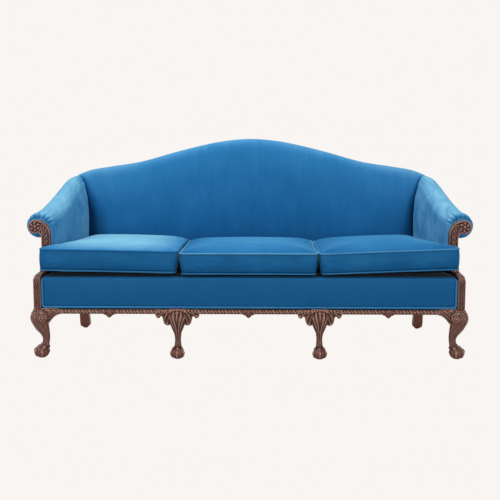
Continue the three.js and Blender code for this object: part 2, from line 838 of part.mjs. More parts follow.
// Inside back: soft face, rolled crest and thin side flanges round the frame's space
const crestRollShares = [[0.09, 0.1], [0.28, 0.02], [0.52, 0], [0.78, 0.05], [0.96, 0.22], [1, 0.42]];
function backPad() {
  const far = backPadThick + backFrameDepth + outsideSkin - gap;
  const fade = (x) => Math.max(0, 1 - (x / armInnerBack) ** 4);
  const frontShares = [[0, 0], [0.25, 0.85], [0.5, 1], [0.75, 0.6]];
  const rings = stations(backHalfWidth).map((x) => {
    const top = crest(x);
    const low = top - rollDepth;
    const face = frontShares.map(([up, out]) => [-backBulge * out * fade(x), mix(padBottom, low, up)]);
    const round = crestRollShares.map(([deep, down]) => [far * deep, top - rollDepth * down]);
    return [...face, [0, low + rollDepth / 2], ...round, [far, padBottom]]
      .map(([d, z]) => [x, behind(d, z), z]);
  });
  const flange = backHalfWidth - postOuter - gap;
  const hollow = stations(backHalfWidth - flange).map((x) => {
    const top = crest(x) - topWrap;
    return [[backPadThick, padBottom - overrun], [far + overrun, padBottom - overrun],
      [far + overrun, top], [backPadThick, top]].map(([d, z]) => [x, behind(d, z), z]);
  });
  const rails = [armRail(gap), lowerArmRail(gap)];
  return cut(loft(rings, [1, 2]), loft(hollow, [1, 2]), ...rails, ...rails.map(mirrored));
}

function outsideBack() {
  const near = backPadThick + backFrameDepth + outsideSkin;
  const far = backThick;
  const rings = stations(backHalfWidth - gap).map((x) => {
    const top = crest(x) - topWrap + outsideSkin;
    return [[near, panelBottom], [far, panelBottom], [far, top - outsideSkin], [near, top]]
      .map(([d, z]) => [x, behind(d, z), z]);
  });
  return loft(rings, [1, 2]);
}

// Zigzag springs from the front rail to the rear rail, tied across by straight wires
function wireLoft(points) {
  const up = new THREE.Vector3(0, 0, 1);
  const rings = points.map((point, i) => {
    const before = points[Math.max(i - 1, 0)];
    const after = points[Math.min(i + 1, points.length - 1)];
    const along = after.clone().sub(before).normalize();
    const side = along.clone().cross(up).normalize().multiplyScalar(wireRadius);
    const rise = up.clone().multiplyScalar(wireRadius);
    return [side, rise, side.clone().negate(), rise.clone().negate()]
      .map((offset) => point.clone().add(offset).toArray());
  });
  return rings;
}

const springHeight = frontRailTop + gap + wireRadius;
function springUnit(left, right) {
  const height = springHeight;
  const start = frontRailFace + springEndMargin;
  const end = behind(backPadThick + springEndMargin, height);
  const runs = Array.from({ length: springRuns }, (_, run) => {
    const middle = mix(left + springInset, right - springInset, run / (springRuns - 1));
    const points = [];
    for (let bend = 0; bend < springBends; bend += 1) {
      const y = mix(start, end, bend / (springBends - 1));
      const half = springWidth / 2;
      const way = bend % 2 ? 1 : -1;
      const step = (end - start) / (springBends - 1) / 3;
      if (bend > 0) points.push(new THREE.Vector3(middle + way * half, y - step, height));
      if (bend < springBends - 1) points.push(new THREE.Vector3(middle + way * half, y + step, height));
    }
    return loft(wireLoft(points), [0, 2]);
  });
  const ties = [1 / 3, 2 / 3].map((share) => {
    const y = mix(start, end, share);
    const ends = [left, right].map((x) => new THREE.Vector3(x, y, height));
    return loft(wireLoft(ends), [1, 2]);
  });
  return joined(...runs, ...ties);
}

// Seat deck between the side rails, from the springs up to the cushions
function seatDeck() {
  const front = frontRailFace + gap;
  const low = springHeight + wireRadius + gap;
  const rings = [low, cushionRestHeight - gap].map((z) => {
    const back = behind(backPadThick, low);
    const half = (y) => railInner(y) - deckMargin;
    return [[-half(front), front], [half(front), front], [half(back), back], [-half(back), back]]
      .map(([x, y]) => [x, y, z]);
  });
  return loft(rings, [0, 1]);
}

function dustCover() {
  const front = blockBack + gap;
  const back = behind(backPadThick, railBottom) - rearLegHalf;
  const tuck = back + 2 * rearLegHalf;
  const half = (y) => outerFace(y) - dustCoverMargin;
  const inner = backBarEnd - dustCoverMargin;
  const outline = [[-half(front), front], [half(front), front], [half(back), back], [inner, back],
    [inner, tuck], [-inner, tuck], [-inner, back], [-half(back), back]];
  const top = railBottom - gap;
  return plan(outline, top - dustCoverThick, top);
}

// Cushion loops seen from above: soft corners, sides drawn in between them
function cushionLoop(corners, draw, long) {
  const sideShares = [0.2, 0.5, 0.8];
  const vectors = corners.map((corner) => new THREE.Vector2(...corner));
  const at = (i) => vectors[(i + vectors.length) % vectors.length];
  const loop = [];
  vectors.forEach((corner, i) => {
    const reach = (other) => Math.min(cushionCorner, corner.distanceTo(other) / 3);
    const toward = (other) => other.clone().sub(corner).setLength(reach(other)).add(corner);
    const from = toward(at(i - 1));
    const to = toward(at(i + 1));
    const middle = from.clone().add(to).multiplyScalar(0.25).add(corner.clone().multiplyScalar(0.5));
    loop.push(from, middle, to);
    if (!long[i]) return;
    const length = corner.distanceTo(at(i + 1));
    const next = at(i + 1).clone().sub(corner).setLength(length - cushionCorner).add(corner);
    const inward = at(i + 1).clone().sub(corner).normalize();
    inward.set(-inward.y, inward.x);
    for (const share of sideShares) {
      const pull = draw * Math.sin(Math.PI * share);
      loop.push(to.clone().lerp(next, share).add(inward.clone().multiplyScalar(pull)));
    }
  });
  return loop.map((point) => [point.x, point.y]);
}

// The crown: [inset as a share of the corner size, share of the way down to the welt]
const crownShares = [[5, 0], [2.2, 0.12], [0.7, 0.45], [0.12, 0.85]];
// The boxing between the welts: [inset share, height share, share of the draw]
const boxingShares = [[0, 0, 1], [0.25, 0.5, 1.2], [0, 1, 1]];
function cushion(cornersAt) {
  const base = cornersAt(0).map((corner) => new THREE.Vector2(...corner));
  const long = base.map((corner, i) => corner.distanceTo(base[(i + 1) % base.length]) > 2 * earDepth);
  const bottom = cushionRestHeight;
  const weltTop = weltBottom + boxingHeight;
  const low = crownShares.map(([inset, rise]) => [inset, mix(bottom, weltBottom, rise)]);
  const high = crownShares.map(([inset, rise]) => [inset, mix(weltTop + crownHeight, weltTop, rise)]);
  const boxing = boxingShares.map(([inset, rise, pull]) => [inset, mix(weltBottom, weltTop, rise), pull]);
  const rings = [...low, ...boxing, ...high.reverse()].map(([inset, z, pull = 1]) => {
    const loop = cushionLoop(cornersAt(inset * cushionCorner), cushionDraw * pull, long);
    return loop.map(([x, y]) => [x, y, z]);
  });
  return loft(rings, [0, 1]);
}

const cushionBack = behind(-cushionBackGap, weltBottom);
const middleCushion = () => cushion((inset) => {
  const half = cushionSplit - cushionGap - inset;
  return [[-half, cushionFront + inset], [half, cushionFront + inset],
    [half, cushionBack - inset], [-half, cushionBack - inset]];
});

// The end cushion's ear passes in front of the arm post, and melts into its crown
const endCushion = () => cushion((inset) => {
  const fade = Math.max(1 - inset / (earFadeShare * earDepth), earLeastShare);
  const front = cushionFront + inset;
  const earBack = Math.max(cushionFront + earDepth - inset, front + earDepth * earStepShare);
  const side = (y) => innerFace(y) - cushionSideGap - inset;
  const ear = cushionOuter - inset - earWidth * (1 - fade);
  const inner = cushionSplit + cushionGap + inset;
  const notch = Math.min(side(armFront), ear - earWidth * earStepShare);
  return [[inner, front], [ear, front], [ear, earBack], [notch, earBack],
    [side(cushionBack - inset), cushionBack - inset], [inner, cushionBack - inset]];
});

add("front_rail", frontRail(), hardwood);
add("rear_rail", rearRail(), hardwood);
addPair("side_rail", sideRail(), hardwood);
addPair("corner_brace_front", frontGlueBlock(), hardwood);
addPair("corner_brace_rear", rearGlueBlock(), hardwood);
addPair("corner_block", cornerBlock(), mahogany);
addPair("leg_front", cornerLeg(), mahogany);
addPair("rear_post", rearPost(), mahogany);
addPair("knee_bracket_corner", cornerBracket(), mahogany);
addPair("knee_bracket_side", sideBracket(), mahogany);
add("top_rail", topRail(), hardwood);
add("lower_back_rail", lowerBackRail(), hardwood);
addPair("arm_rail", armRail(), hardwood);
addPair("lower_arm_rail", lowerArmRail(), hardwood);
addPair("arm_post", armPost(), mahogany);
addPair("arm_pad", armPad(), velvet);
addPair("outside_arm", outsideArm(), velvet);
for (const [name, side] of [["left", -1], ["right", 1]]) {
  add(`seat_brace_${name}`, seatBrace(side), hardwood);
  add(`upright_${name}`, upright(side), hardwood);
  add(`leg_middle_${name}`, middleLeg(side), mahogany);
  add(`knee_bracket_middle_${name}_inner`, middleBracket(side, -side), mahogany);
  add(`knee_bracket_middle_${name}_outer`, middleBracket(side, side), mahogany);
}
const mouldingInner = middleLegPlace - middleKneeHalf - gap;
const mouldingNear = middleLegPlace + middleKneeHalf + gap;
const mouldingFar = cornerLegAxis[0] - kneeHalf - gap;
const lapFar = blockInner - gap;
add("moulding_left", moulding(-mouldingFar, -mouldingNear, -lapFar, -mouldingNear), mahogany);
add("moulding_centre", moulding(-mouldingInner, mouldingInner, -mouldingInner, mouldingInner), mahogany);
add("moulding_right", moulding(mouldingNear, mouldingFar, mouldingNear, lapFar), mahogany);
for (const [name, place] of [["left", -1], ["centre", 0], ["right", 1]]) {
  add(`pendant_${name}`, pendant(place * pendantPlace), mahogany);
}
const springNear = cushionSplit + springMargin;
const springFar = railInner(behind(backPadThick, railBottom)) - springMargin;
addPair("spring_unit", springUnit(springNear, springFar), steel);
add("spring_unit_centre", springUnit(springMargin - cushionSplit, cushionSplit - springMargin), steel);
add("seat_deck", seatDeck(), decking);
add("dust_cover", dustCover(), cambric);
add("front_panel", frontPanel(), velvet);
add("back_pad", backPad(), velvet);
add("outside_back", outsideBack(), velvet);
add("cushion_centre", middleCushion(), velvet);
addPair("cushion", endCushion(), velvet);

// The origin lies on the floor at the middle of the sofa's footprint
const footprint = new THREE.Box3().setFromObject(sofa).getCenter(new THREE.Vector3());
sofa.position.set(-footprint.x, -footprint.y, 0);

export default sofa;
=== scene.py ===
"""Looks of a camelback sofa with carved legs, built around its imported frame. Metres, front toward -Y."""

import math

import bmesh
import bpy
import numpy as np
from mathutils import Matrix, Vector


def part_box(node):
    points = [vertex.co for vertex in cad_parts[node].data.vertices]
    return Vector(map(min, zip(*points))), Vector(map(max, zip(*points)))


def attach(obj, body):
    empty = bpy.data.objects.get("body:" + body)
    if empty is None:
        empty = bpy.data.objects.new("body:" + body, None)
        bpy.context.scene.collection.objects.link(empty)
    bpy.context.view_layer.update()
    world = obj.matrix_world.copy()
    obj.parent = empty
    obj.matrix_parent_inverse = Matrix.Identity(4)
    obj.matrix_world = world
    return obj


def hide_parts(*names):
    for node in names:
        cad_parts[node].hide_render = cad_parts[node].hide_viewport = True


bl_info = {
    "name": "Camelback sofa",
    "version": (1, 0, 0),
    "blender": (4, 5, 0),
    "location": "3D View > Sidebar > Sofa",
    "description": "Upholstery, carving, finishes and studio of a camelback sofa",
    "category": "Object",
}

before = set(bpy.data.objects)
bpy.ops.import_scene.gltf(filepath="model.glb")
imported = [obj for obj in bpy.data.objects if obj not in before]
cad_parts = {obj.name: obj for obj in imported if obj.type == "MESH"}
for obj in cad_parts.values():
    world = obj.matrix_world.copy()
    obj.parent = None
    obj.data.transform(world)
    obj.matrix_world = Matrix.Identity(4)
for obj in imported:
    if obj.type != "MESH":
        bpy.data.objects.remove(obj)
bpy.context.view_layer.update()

# Shapes are written in millimetres, as in the part's source, with the front panel's face at its own depth
MM = 0.001
PANEL_FRONT = -2
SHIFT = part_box("front_panel")[0].y - PANEL_FRONT * MM
BODY = "sofa_frame"
SIDES = {"left": -1, "right": 1}

# Driving sizes of the frame
LEG_HEIGHT = 221
FRAME_HALF_WIDTH = 954.5
SEAT_FRAME_TOP = 362
SEAT_DEPTH = 580
CREST_HEIGHT = 981
SHOULDER_DROP = 185
GAP = 0.3
LEAN_HEIGHT = 470
LEAN_SHARE = 0.155

# Back
BACK_HALF_WIDTH = 893
BACK_PAD_THICK = 45
BACK_THICK = 100
BACK_REAR = 90.7
OUTSIDE_BACK_NEAR = 91
TOP_WRAP = 28
BACK_BULGE = 12
ROLL_DEPTH = 100
CREST_SHARES = [[0, 0], [0.176, 0.076], [0.402, 0.321], [0.633, 0.627], [0.8, 0.755], [0.922, 0.859], [1, 1]]
CREST_ROLL_SHARES = [[0.09, 0.1], [0.28, 0.02], [0.52, 0], [0.78, 0.05], [0.96, 0.22], [1, 0.42]]
BACK_FACE_SHARES = [[0, 0], [0.25, 0.85], [0.5, 1], [0.75, 0.6]]

# Arms
ARM_FRONT = 125
SIDE_FRONT_HALF_WIDTH = 945
SIDE_BACK_HALF_WIDTH = 899.3
ARM_INNER_FRONT = 898
ARM_INNER_BACK = 820
ROLL_FRONT_RADIUS = 56
ROLL_BACK_RADIUS = 60
ROLL_FRONT_HEIGHT = 583
ROLL_BACK_HEIGHT = 738
ARM_RISE_SHARES = [[0, 0], [0.25, 0.14], [0.5, 0.4], [0.75, 0.73], [0.9, 0.93], [1, 1]]
PAD_BOTTOM = 376
SIDE_SKIN = 6
BLOCK_BACK = 60

# Corner blocks, front panel, moulding and arm posts
BLOCK_INNER = 921.5
BLOCK_FRONT = -7
PANEL_HALF_WIDTH = 920
PANEL_BACK = 26.7
PANEL_BOTTOM = 225
PANEL_TOP = 366
MOULDING_FRONT = -8
NECK_INNER = 900
NECK_OUTER = 942
NECK_SHOULDER = 545
SCROLL_CENTRE = (968, 579)
SCROLL_RADIUS = 31
FACING_THICK = 25
FOOT_HEIGHT = 38
FOOT_FRONT = -5

# Legs
CORNER_LEG_AXIS = (932, 20)
CORNER_LEG_LEAN = 26
CORNER_LEG_PUSH = 14
KNEE_HALF = 40.5
MIDDLE_LEG_PLACE = 315
MIDDLE_LEG_DEPTH = 19
MIDDLE_LEG_PUSH = 26
MIDDLE_KNEE_HALF = 32

# Cushions
CUSHION_REST = 373.5
CUSHION_SPLIT = 310
CUSHION_GAP = 3
CUSHION_FRONT = -8
CUSHION_BACK = 561
CUSHION_OUTER = 926
EAR_BACK = 92
CUSHION_SIDE_GAP = 4


def to_frame(points):
    """Points in millimetres of the part's source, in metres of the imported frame."""
    placed = np.asarray(points, float) * MM
    placed[..., 1] += SHIFT
    return placed


def clamp01(value):
    return min(max(value, 0.0), 1.0)


def mix(a, b, share):
    return a + (b - a) * share


def through(rows, place, level=True):
    """Smooth value at a place through rows of [place, value]."""
    rows = np.asarray(rows, float)
    at, value = rows[:, 0], rows[:, 1]
    slope = np.empty(len(at))
    slope[1:-1] = (value[2:] - value[:-2]) / (at[2:] - at[:-2])
    slope[-1] = (value[-1] - value[-2]) / (at[-1] - at[-2])
    slope[0] = 0 if level else (value[1] - value[0]) / (at[1] - at[0])
    place = np.asarray(place, float)
    i = np.clip(np.searchsorted(at, place) - 1, 0, len(at) - 2)
    step = at[i + 1] - at[i]
    t = (place - at[i]) / step
    ease = t * t * (3 - 2 * t)
    lead = t * (1 - t) ** 2 * slope[i] - t * t * (1 - t) * slope[i + 1]
    return value[i] * (1 - ease) + value[i + 1] * ease + lead * step


def smooth_path(points, count, closed=False):
    """Evenly spaced points on a smooth path through the given ones."""
    points = np.asarray(points, float)
    if closed:
        points = np.vstack([points, points[:1]])
    steps = np.linalg.norm(np.diff(points, axis=0), axis=1)
    along = np.concatenate([[0], np.cumsum(steps)])
    last = len(points) - 1
    slopes = np.empty_like(points)
    spans = (along[2:] - along[:-2])[:, None]
    slopes[1:-1] = (points[2:] - points[:-2]) / spans
    slopes[0] = (points[1] - points[0]) / steps[0]
    slopes[last] = (points[last] - points[last - 1]) / steps[-1]
    if closed:
        around = (points[1] - points[last - 1]) / (steps[0] + steps[-1])
        slopes[0] = around
        slopes[last] = around
    wanted = np.linspace(0, along[-1], count + 1 if closed else count)
    if closed:
        wanted = wanted[:-1]
    i = np.clip(np.searchsorted(along, wanted, side="right") - 1, 0, last - 1)
    step = (along[i + 1] - along[i])[:, None]
    t = (wanted - along[i])[:, None] / step
    a = (1 + 2 * t) * (1 - t) ** 2 * points[i] + t * (1 - t) ** 2 * step * slopes[i]
    b = t * t * (3 - 2 * t) * points[i + 1] + t * t * (t - 1) * step * slopes[i + 1]
    return a + b


def behind(distance, height):
    """Depth of a point that lies a given distance behind the inside back's face at a height."""
    return SEAT_DEPTH + LEAN_SHARE * (height - LEAN_HEIGHT) + distance


def crest(x):
    share = np.minimum(np.abs(x) / BACK_HALF_WIDTH, 1)
    return CREST_HEIGHT - SHOULDER_DROP * through(CREST_SHARES, share)


SIDE_END = behind(BACK_THICK, ROLL_BACK_HEIGHT)
SIDE_SLOPE = (SIDE_FRONT_HALF_WIDTH - SIDE_BACK_HALF_WIDTH) / (SIDE_END - ARM_FRONT)
INNER_SLOPE = (ARM_INNER_FRONT - ARM_INNER_BACK) / (SEAT_DEPTH - ARM_FRONT)


def outer_face(y):
    return SIDE_FRONT_HALF_WIDTH - SIDE_SLOPE * (y - ARM_FRONT)


def inner_face(y):
    return ARM_INNER_FRONT - INNER_SLOPE * (y - ARM_FRONT)


# Meshes

WELD = 0.00002
CARVING_WELD = 0.000001
CORD_WELD = 0.0000001
RECESS_FULL = 0.0011
RECESS_ROUNDS = 26


def add_object(name, data):
    piece = bpy.data.objects.new(name, data)
    bpy.context.scene.collection.objects.link(piece)
    return piece


def set_smooth(mesh):
    mesh.polygons.foreach_set("use_smooth", np.ones(len(mesh.polygons), bool))


def new_piece(name, points, faces):
    """A mesh object at the origin from points in millimetres."""
    mesh = bpy.data.meshes.new(name)
    mesh.from_pydata(to_frame(points).tolist(), [], [list(map(int, face)) for face in faces])
    set_smooth(mesh)
    mesh.update()
    return add_object(name, mesh)


def line_piece(name, rows, closed=False):
    """A mesh of edges through each row of points, for a node tree to follow."""
    points, edges = [], []
    for row in rows:
        start = len(points)
        points.extend(to_frame(row).tolist())
        edges.extend([start + k, start + k + 1] for k in range(len(row) - 1))
        if closed:
            edges.append([start + len(row) - 1, start])
    mesh = bpy.data.meshes.new(name)
    mesh.from_pydata(points, edges, [])
    return add_object(name, mesh)


def face_outward(piece, weld=WELD):
    """Merges doubles, then turns every face outward."""
    sheet = bmesh.new()
    sheet.from_mesh(piece.data)
    bmesh.ops.remove_doubles(sheet, verts=sheet.verts, dist=weld)
    bmesh.ops.recalc_face_normals(sheet, faces=sheet.faces)
    sheet.to_mesh(piece.data)
    sheet.free()
    piece.data.update()


def baked(piece):
    """Applies the piece's modifiers, so it ends as a plain mesh."""
    graph = bpy.context.evaluated_depsgraph_get()
    made = bpy.data.meshes.new_from_object(piece.evaluated_get(graph))
    made.name = piece.name
    before = piece.data
    piece.modifiers.clear()
    piece.data = made
    bpy.data.meshes.remove(before)
    set_smooth(made)
    return piece


def settle(piece, kind, **settings):
    """Applies one modifier with these settings."""
    modifier = piece.modifiers.new(kind.title(), kind)
    for key, value in settings.items():
        setattr(modifier, key, value)
    return baked(piece)


def mirrored(piece, name):
    """The same piece for the other side of the sofa."""
    mesh = piece.data.copy()
    mesh.name = name
    mesh.transform(Matrix.Scale(-1, 4, (1, 0, 0)))
    copy = add_object(name, mesh)
    face_outward(copy)
    return copy


def closed_loft(rings):
    """Points and faces of a closed form through rings with as many points each."""
    rings = np.asarray(rings, float)
    count, around = rings.shape[:2]
    row = np.arange(count - 1)[:, None] * around
    here = np.arange(around)[None, :]
    after = (here + 1) % around
    quads = np.stack([row + here, row + after, row + after + around, row + here + around], axis=-1)
    faces = quads.reshape(-1, 4).tolist()
    faces.append(list(range(around))[::-1])
    faces.append(list(range((count - 1) * around, count * around)))
    return rings.reshape(-1, 3), faces


def coordinates(mesh, what="co"):
    values = np.empty(len(mesh.vertices) * 3)
    mesh.vertices.foreach_get(what, values)
    return values.reshape(-1, 3)


def source_places(piece):
    """A piece's points in millimetres of the part's source."""
    places = coordinates(piece.data) / MM
    places[:, 1] -= SHIFT / MM
    return places


def set_coordinates(mesh, points):
    mesh.vertices.foreach_set("co", np.asarray(points, float).ravel())
    mesh.update()


def put_attribute(mesh, name, values):
    attribute = mesh.attributes.get(name) or mesh.attributes.new(name, "FLOAT", "POINT")
    attribute.data.foreach_set("value", np.asarray(values, np.float32))


def set_nap_and_painted_light(piece, values=0.0):
    """Stores the velvet's nap tone, for each point or for the whole piece: the lean of its pile, and with it
    painted light and painted shade.
    """
    put_attribute(piece.data, "nap", np.broadcast_to(values, len(piece.data.vertices)))


def neighbour_average(mesh, values, rounds):
    """Values blurred along the mesh's edges."""
    pairs = np.empty(len(mesh.edges) * 2, int)
    mesh.edges.foreach_get("vertices", pairs)
    a, b = pairs.reshape(-1, 2).T
    ends = np.concatenate([a, b])
    others = np.concatenate([b, a])
    count = len(mesh.vertices)
    degree = np.maximum(np.bincount(ends, minlength=count), 1)
    values = np.array(values, float).reshape(count, -1)
    for _ in range(rounds):
        columns = [np.bincount(ends, weights=column[others], minlength=count) for column in values.T]
        values = (values + np.stack(columns, axis=1) / degree[:, None]) / 2
    return values


def note_recesses(piece):
    """Stores how far each point lies in a hollow of the carving, above 0, or on a ridge, below 0."""
    mesh = piece.data
    points = coordinates(mesh)
    blurred = neighbour_average(mesh, points, RECESS_ROUNDS)
    depth = ((blurred - points) * coordinates(mesh, "normal")).sum(axis=1)
    depth = neighbour_average(mesh, depth, 1)[:, 0]
    put_attribute(mesh, "recess", np.clip(depth / RECESS_FULL, -1, 1))


def finish(piece, key, nodes=(), body=BODY):
    """Gives a piece its material and its body, and hides the CAD nodes that it stands for."""
    piece.data.materials.clear()
    piece.data.materials.append(material_of(key))
    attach(piece, body)
    if nodes:
        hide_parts(*nodes)
    return piece


def lattice(lines_x, lines_y):
    return np.meshgrid(np.asarray(lines_x, float), np.asarray(lines_y, float), indexing="ij")


def lines(*spans):
    """Lattice lines through (start, end, steps) spans that follow each other."""
    found = [np.linspace(a, b, n + 1) for a, b, n in spans]
    return np.concatenate([found[0]] + [span[1:] for span in found[1:]])


def all_cells(x):
    """Every square of a lattice, given as its points' places across."""
    return np.ones((x.shape[0] - 1, x.shape[1] - 1), bool)


def used_points(cells):
    """The lattice points that belong to a filled square."""
    used = np.zeros((cells.shape[0] + 1, cells.shape[1] + 1), bool)
    for i in (0, 1):
        for j in (0, 1):
            used[i:i + cells.shape[0], j:j + cells.shape[1]] |= cells
    return used


def slab(cells, top, bottom, rim=()):
    """A closed form over a lattice: cells says which squares are filled, top and bottom place its points,
    and each rim row is a function of the edge's (low, high, outward) that gives a row between them."""
    used = used_points(cells)
    names = np.full(used.shape, -1)
    count = int(used.sum())
    names[used] = np.arange(count)
    points = [top[used], bottom[used]]
    faces = []
    follows = {}
    for i, j in zip(*np.nonzero(cells)):
        a, b, c, d = names[i, j], names[i + 1, j], names[i + 1, j + 1], names[i, j + 1]
        faces.append([a, b, c, d])
        faces.append([count + d, count + c, count + b, count + a])
        for step, (p, q) in {(0, -1): (a, b), (1, 0): (b, c), (0, 1): (c, d), (-1, 0): (d, a)}.items():
            n, m = i + step[0], j + step[1]
            if not (0 <= n < cells.shape[0] and 0 <= m < cells.shape[1] and cells[n, m]):
                follows[p] = q
    start = min(follows)
    loop = [start]
    while follows[loop[-1]] != start:
        loop.append(follows[loop[-1]])
    high, low = points[0][loop], points[1][loop]
    along = np.roll(high, -1, axis=0) - np.roll(high, 1, axis=0)
    outward = np.stack([along[:, 1], -along[:, 0], np.zeros(len(loop))], axis=1)
    outward /= np.linalg.norm(outward, axis=1, keepdims=True) + 1e-9
    rows = [np.array(loop)]
    for row in rim:
        points.append(row(low, high, outward))
        rows.append(2 * count + (len(rows) - 1) * len(loop) + np.arange(len(loop)))
    rows.append(count + np.array(loop))
    for upper, lower in zip(rows, rows[1:]):
        for k in range(len(loop)):
            n = (k + 1) % len(loop)
            faces.append([upper[n], upper[k], lower[k], lower[n]])
    return np.concatenate(points), faces, rows


def slab_piece(name, cells, outer, inner):
    points, faces, _ = slab(cells, outer, inner)
    piece = new_piece(name, points, faces)
    face_outward(piece)
    return piece


def edge_fall(edge, width):
    """1 at a cloth's edge, and 0 from a width inward."""
    return np.clip(1 - edge / width, 0, 1)


class Carving:
    """Closed forms in millimetres, gathered to be fused into one carved piece."""

    cap = 0.6

    def __init__(self):
        self.points = []
        self.faces = []
        self.count = 0

    def loft(self, rings):
        points, faces = closed_loft(rings)
        self.faces.extend([[self.count + k for k in face] for face in faces])
        self.points.append(points)
        self.count += len(points)

    def plate(self, outline, near, far):
        """A flat board between two depths, from its outline in the front view."""
        self.loft([[(x, y, z) for x, z in outline] for y in (near, far)])

    def post(self, outline, low, high):
        """An upright block between two heights, from its outline in plan."""
        self.loft([[(x, y, z) for x, y in outline] for z in (low, high)])

    def rod(self, path, radii, normals, flat, sides, samples):
        """A tapered rod along a path; flat below 1 presses it toward the surface it lies on."""
        path = np.asarray(path, float)
        share = np.linspace(0, 1, samples)
        line = smooth_path(path, samples) if len(path) > 2 else mix(path[0], path[-1], share[:, None])
        radius = np.interp(share, np.linspace(0, 1, len(radii)), radii)
        normals = np.atleast_2d(np.asarray(normals, float))
        if len(normals) == 1:
            up = np.repeat(normals, samples, axis=0)
        else:
            given = np.linspace(0, 1, len(path))
            up = np.stack([np.interp(share, given, normals[:, k]) for k in range(3)], axis=1)
        tangent = np.gradient(line, axis=0)
        tangent /= np.linalg.norm(tangent, axis=1, keepdims=True) + 1e-9
        side = np.cross(tangent, up)
        side /= np.linalg.norm(side, axis=1, keepdims=True) + 1e-9
        up = np.cross(side, tangent)
        angle = np.linspace(0, 2 * np.pi, sides, endpoint=False)
        across = side[:, None, :] * np.cos(angle)[None, :, None]
        rise = up[:, None, :] * np.sin(angle)[None, :, None] * flat
        rings = line[:, None, :] + (across + rise) * radius[:, None, None]
        tips = (line[0] - tangent[0] * radius[0] * self.cap, line[-1] + tangent[-1] * radius[-1] * self.cap)
        caps = []
        for tip, end, ring in zip(tips, (line[0], line[-1]), (rings[0], rings[-1])):
            cap = np.repeat(tip[None], sides, axis=0) * 0.5 + ring * 0.5
            caps.append((cap + (tip - end) * 0.5)[None])
        self.loft(np.concatenate([caps[0], rings, caps[1]]))

    def ball(self, centre, radius, squash, rows=14, columns=20):
        turn = np.linspace(0.02, np.pi - 0.02, rows)[:, None]
        angle = np.linspace(0, 2 * np.pi, columns, endpoint=False)[None, :]
        rings = np.stack([np.sin(turn) * np.cos(angle), np.sin(turn) * np.sin(angle),
                          np.cos(turn) * np.ones_like(angle)], axis=-1)
        self.loft(np.asarray(centre, float) + radius * rings * np.asarray(squash, float))

    def fused(self, name, voxel):
        """One closed skin round everything gathered."""
        piece = new_piece(name, np.concatenate(self.points), self.faces)
        face_outward(piece, CARVING_WELD)
        settle(piece, "REMESH", mode="VOXEL", voxel_size=voxel * MM)
        return settle(piece, "SMOOTH", factor=0.5, iterations=1)


# Node trees


def add_node(tree, kind, inputs=(), **settings):
    """A node with its settings; each input, by name or number, is a socket to link or a value."""
    node = tree.nodes.new(kind)
    for key, value in settings.items():
        setattr(node, key, value)
    for key, value in dict(inputs).items():
        if isinstance(value, bpy.types.NodeSocket):
            tree.links.new(value, node.inputs[key])
        else:
            node.inputs[key].default_value = value
    return node


def line_tree(name, spacing, inputs):
    """A geometry tree with a mesh line's points spaced along it, its inputs and their identifiers."""
    tree = bpy.data.node_groups.new(name, "GeometryNodeTree")
    tree.interface.new_socket("Geometry", in_out="INPUT", socket_type="NodeSocketGeometry")
    sockets = {}
    for label, kind in {**inputs, "Material": "Material"}.items():
        made = tree.interface.new_socket(label, in_out="INPUT", socket_type="NodeSocket" + kind)
        sockets[label.lower()] = made.identifier
    tree.interface.new_socket("Geometry", in_out="OUTPUT", socket_type="NodeSocketGeometry")
    entry = tree.nodes.new("NodeGroupInput").outputs
    curve = add_node(tree, "GeometryNodeMeshToCurve", {"Mesh": entry["Geometry"]})
    spaced = add_node(tree, "GeometryNodeResampleCurve",
                      {"Curve": curve.outputs["Curve"], "Length": entry[spacing]}, mode="LENGTH")
    return tree, sockets, entry, spaced.outputs["Curve"]


def end_line_tree(tree, entry, mesh):
    """Shades a line tree's mesh smooth and gives it the material."""
    soft = add_node(tree, "GeometryNodeSetShadeSmooth", {"Geometry": mesh})
    real = add_node(tree, "GeometryNodeRealizeInstances", {"Geometry": soft.outputs[0]})
    coat = add_node(tree, "GeometryNodeSetMaterial",
                    {"Geometry": real.outputs[0], "Material": entry["Material"]})
    add_node(tree, "NodeGroupOutput", {"Geometry": coat.outputs[0]})


def welt_tree():
    """A round cord along a mesh line."""
    tree, sockets, entry, curve = line_tree(
        "welt_along_line", "Step", {"Radius": "Float", "Step": "Float", "Sides": "Int"})
    ring = add_node(tree, "GeometryNodeCurvePrimitiveCircle",
                    {"Radius": entry["Radius"], "Resolution": entry["Sides"]})
    skin = add_node(tree, "GeometryNodeCurveToMesh",
                    {"Curve": curve, "Profile Curve": ring.outputs["Curve"], "Fill Caps": True})
    end_line_tree(tree, entry, skin.outputs["Mesh"])
    return tree, sockets


def rope_tree():
    """Slanted gadroons along a mesh line, every second one of another size."""
    tree, sockets, entry, curve = line_tree(
        "rope_moulding", "Pitch",
        {"Pitch": "Float", "Scale": "Vector", "Alternate": "Float", "Turn": "Vector"})
    bead = add_node(tree, "GeometryNodeMeshUVSphere", {"Segments": 10, "Rings": 7, "Radius": 1.0})
    place = add_node(tree, "GeometryNodeInputIndex")
    second = add_node(tree, "ShaderNodeMath", {0: place.outputs["Index"], 1: 2.0}, operation="MODULO")
    shrink = add_node(tree, "ShaderNodeMath", {0: second.outputs[0], 1: entry["Alternate"], 2: 1.0},
                      operation="MULTIPLY_ADD")
    sized = add_node(tree, "ShaderNodeVectorMath", {0: entry["Scale"], "Scale": shrink.outputs[0]},
                     operation="SCALE")
    spread = add_node(tree, "GeometryNodeInstanceOnPoints",
                      {"Points": curve, "Instance": bead.outputs["Mesh"], "Rotation": entry["Turn"],
                       "Scale": sized.outputs["Vector"]})
    end_line_tree(tree, entry, spread.outputs["Instances"])
    return tree, sockets


SHARED_TREES = {}


def shared(build):
    """A tree or group that is built when it is first asked for."""
    if build not in SHARED_TREES:
        SHARED_TREES[build] = build()
    return SHARED_TREES[build]


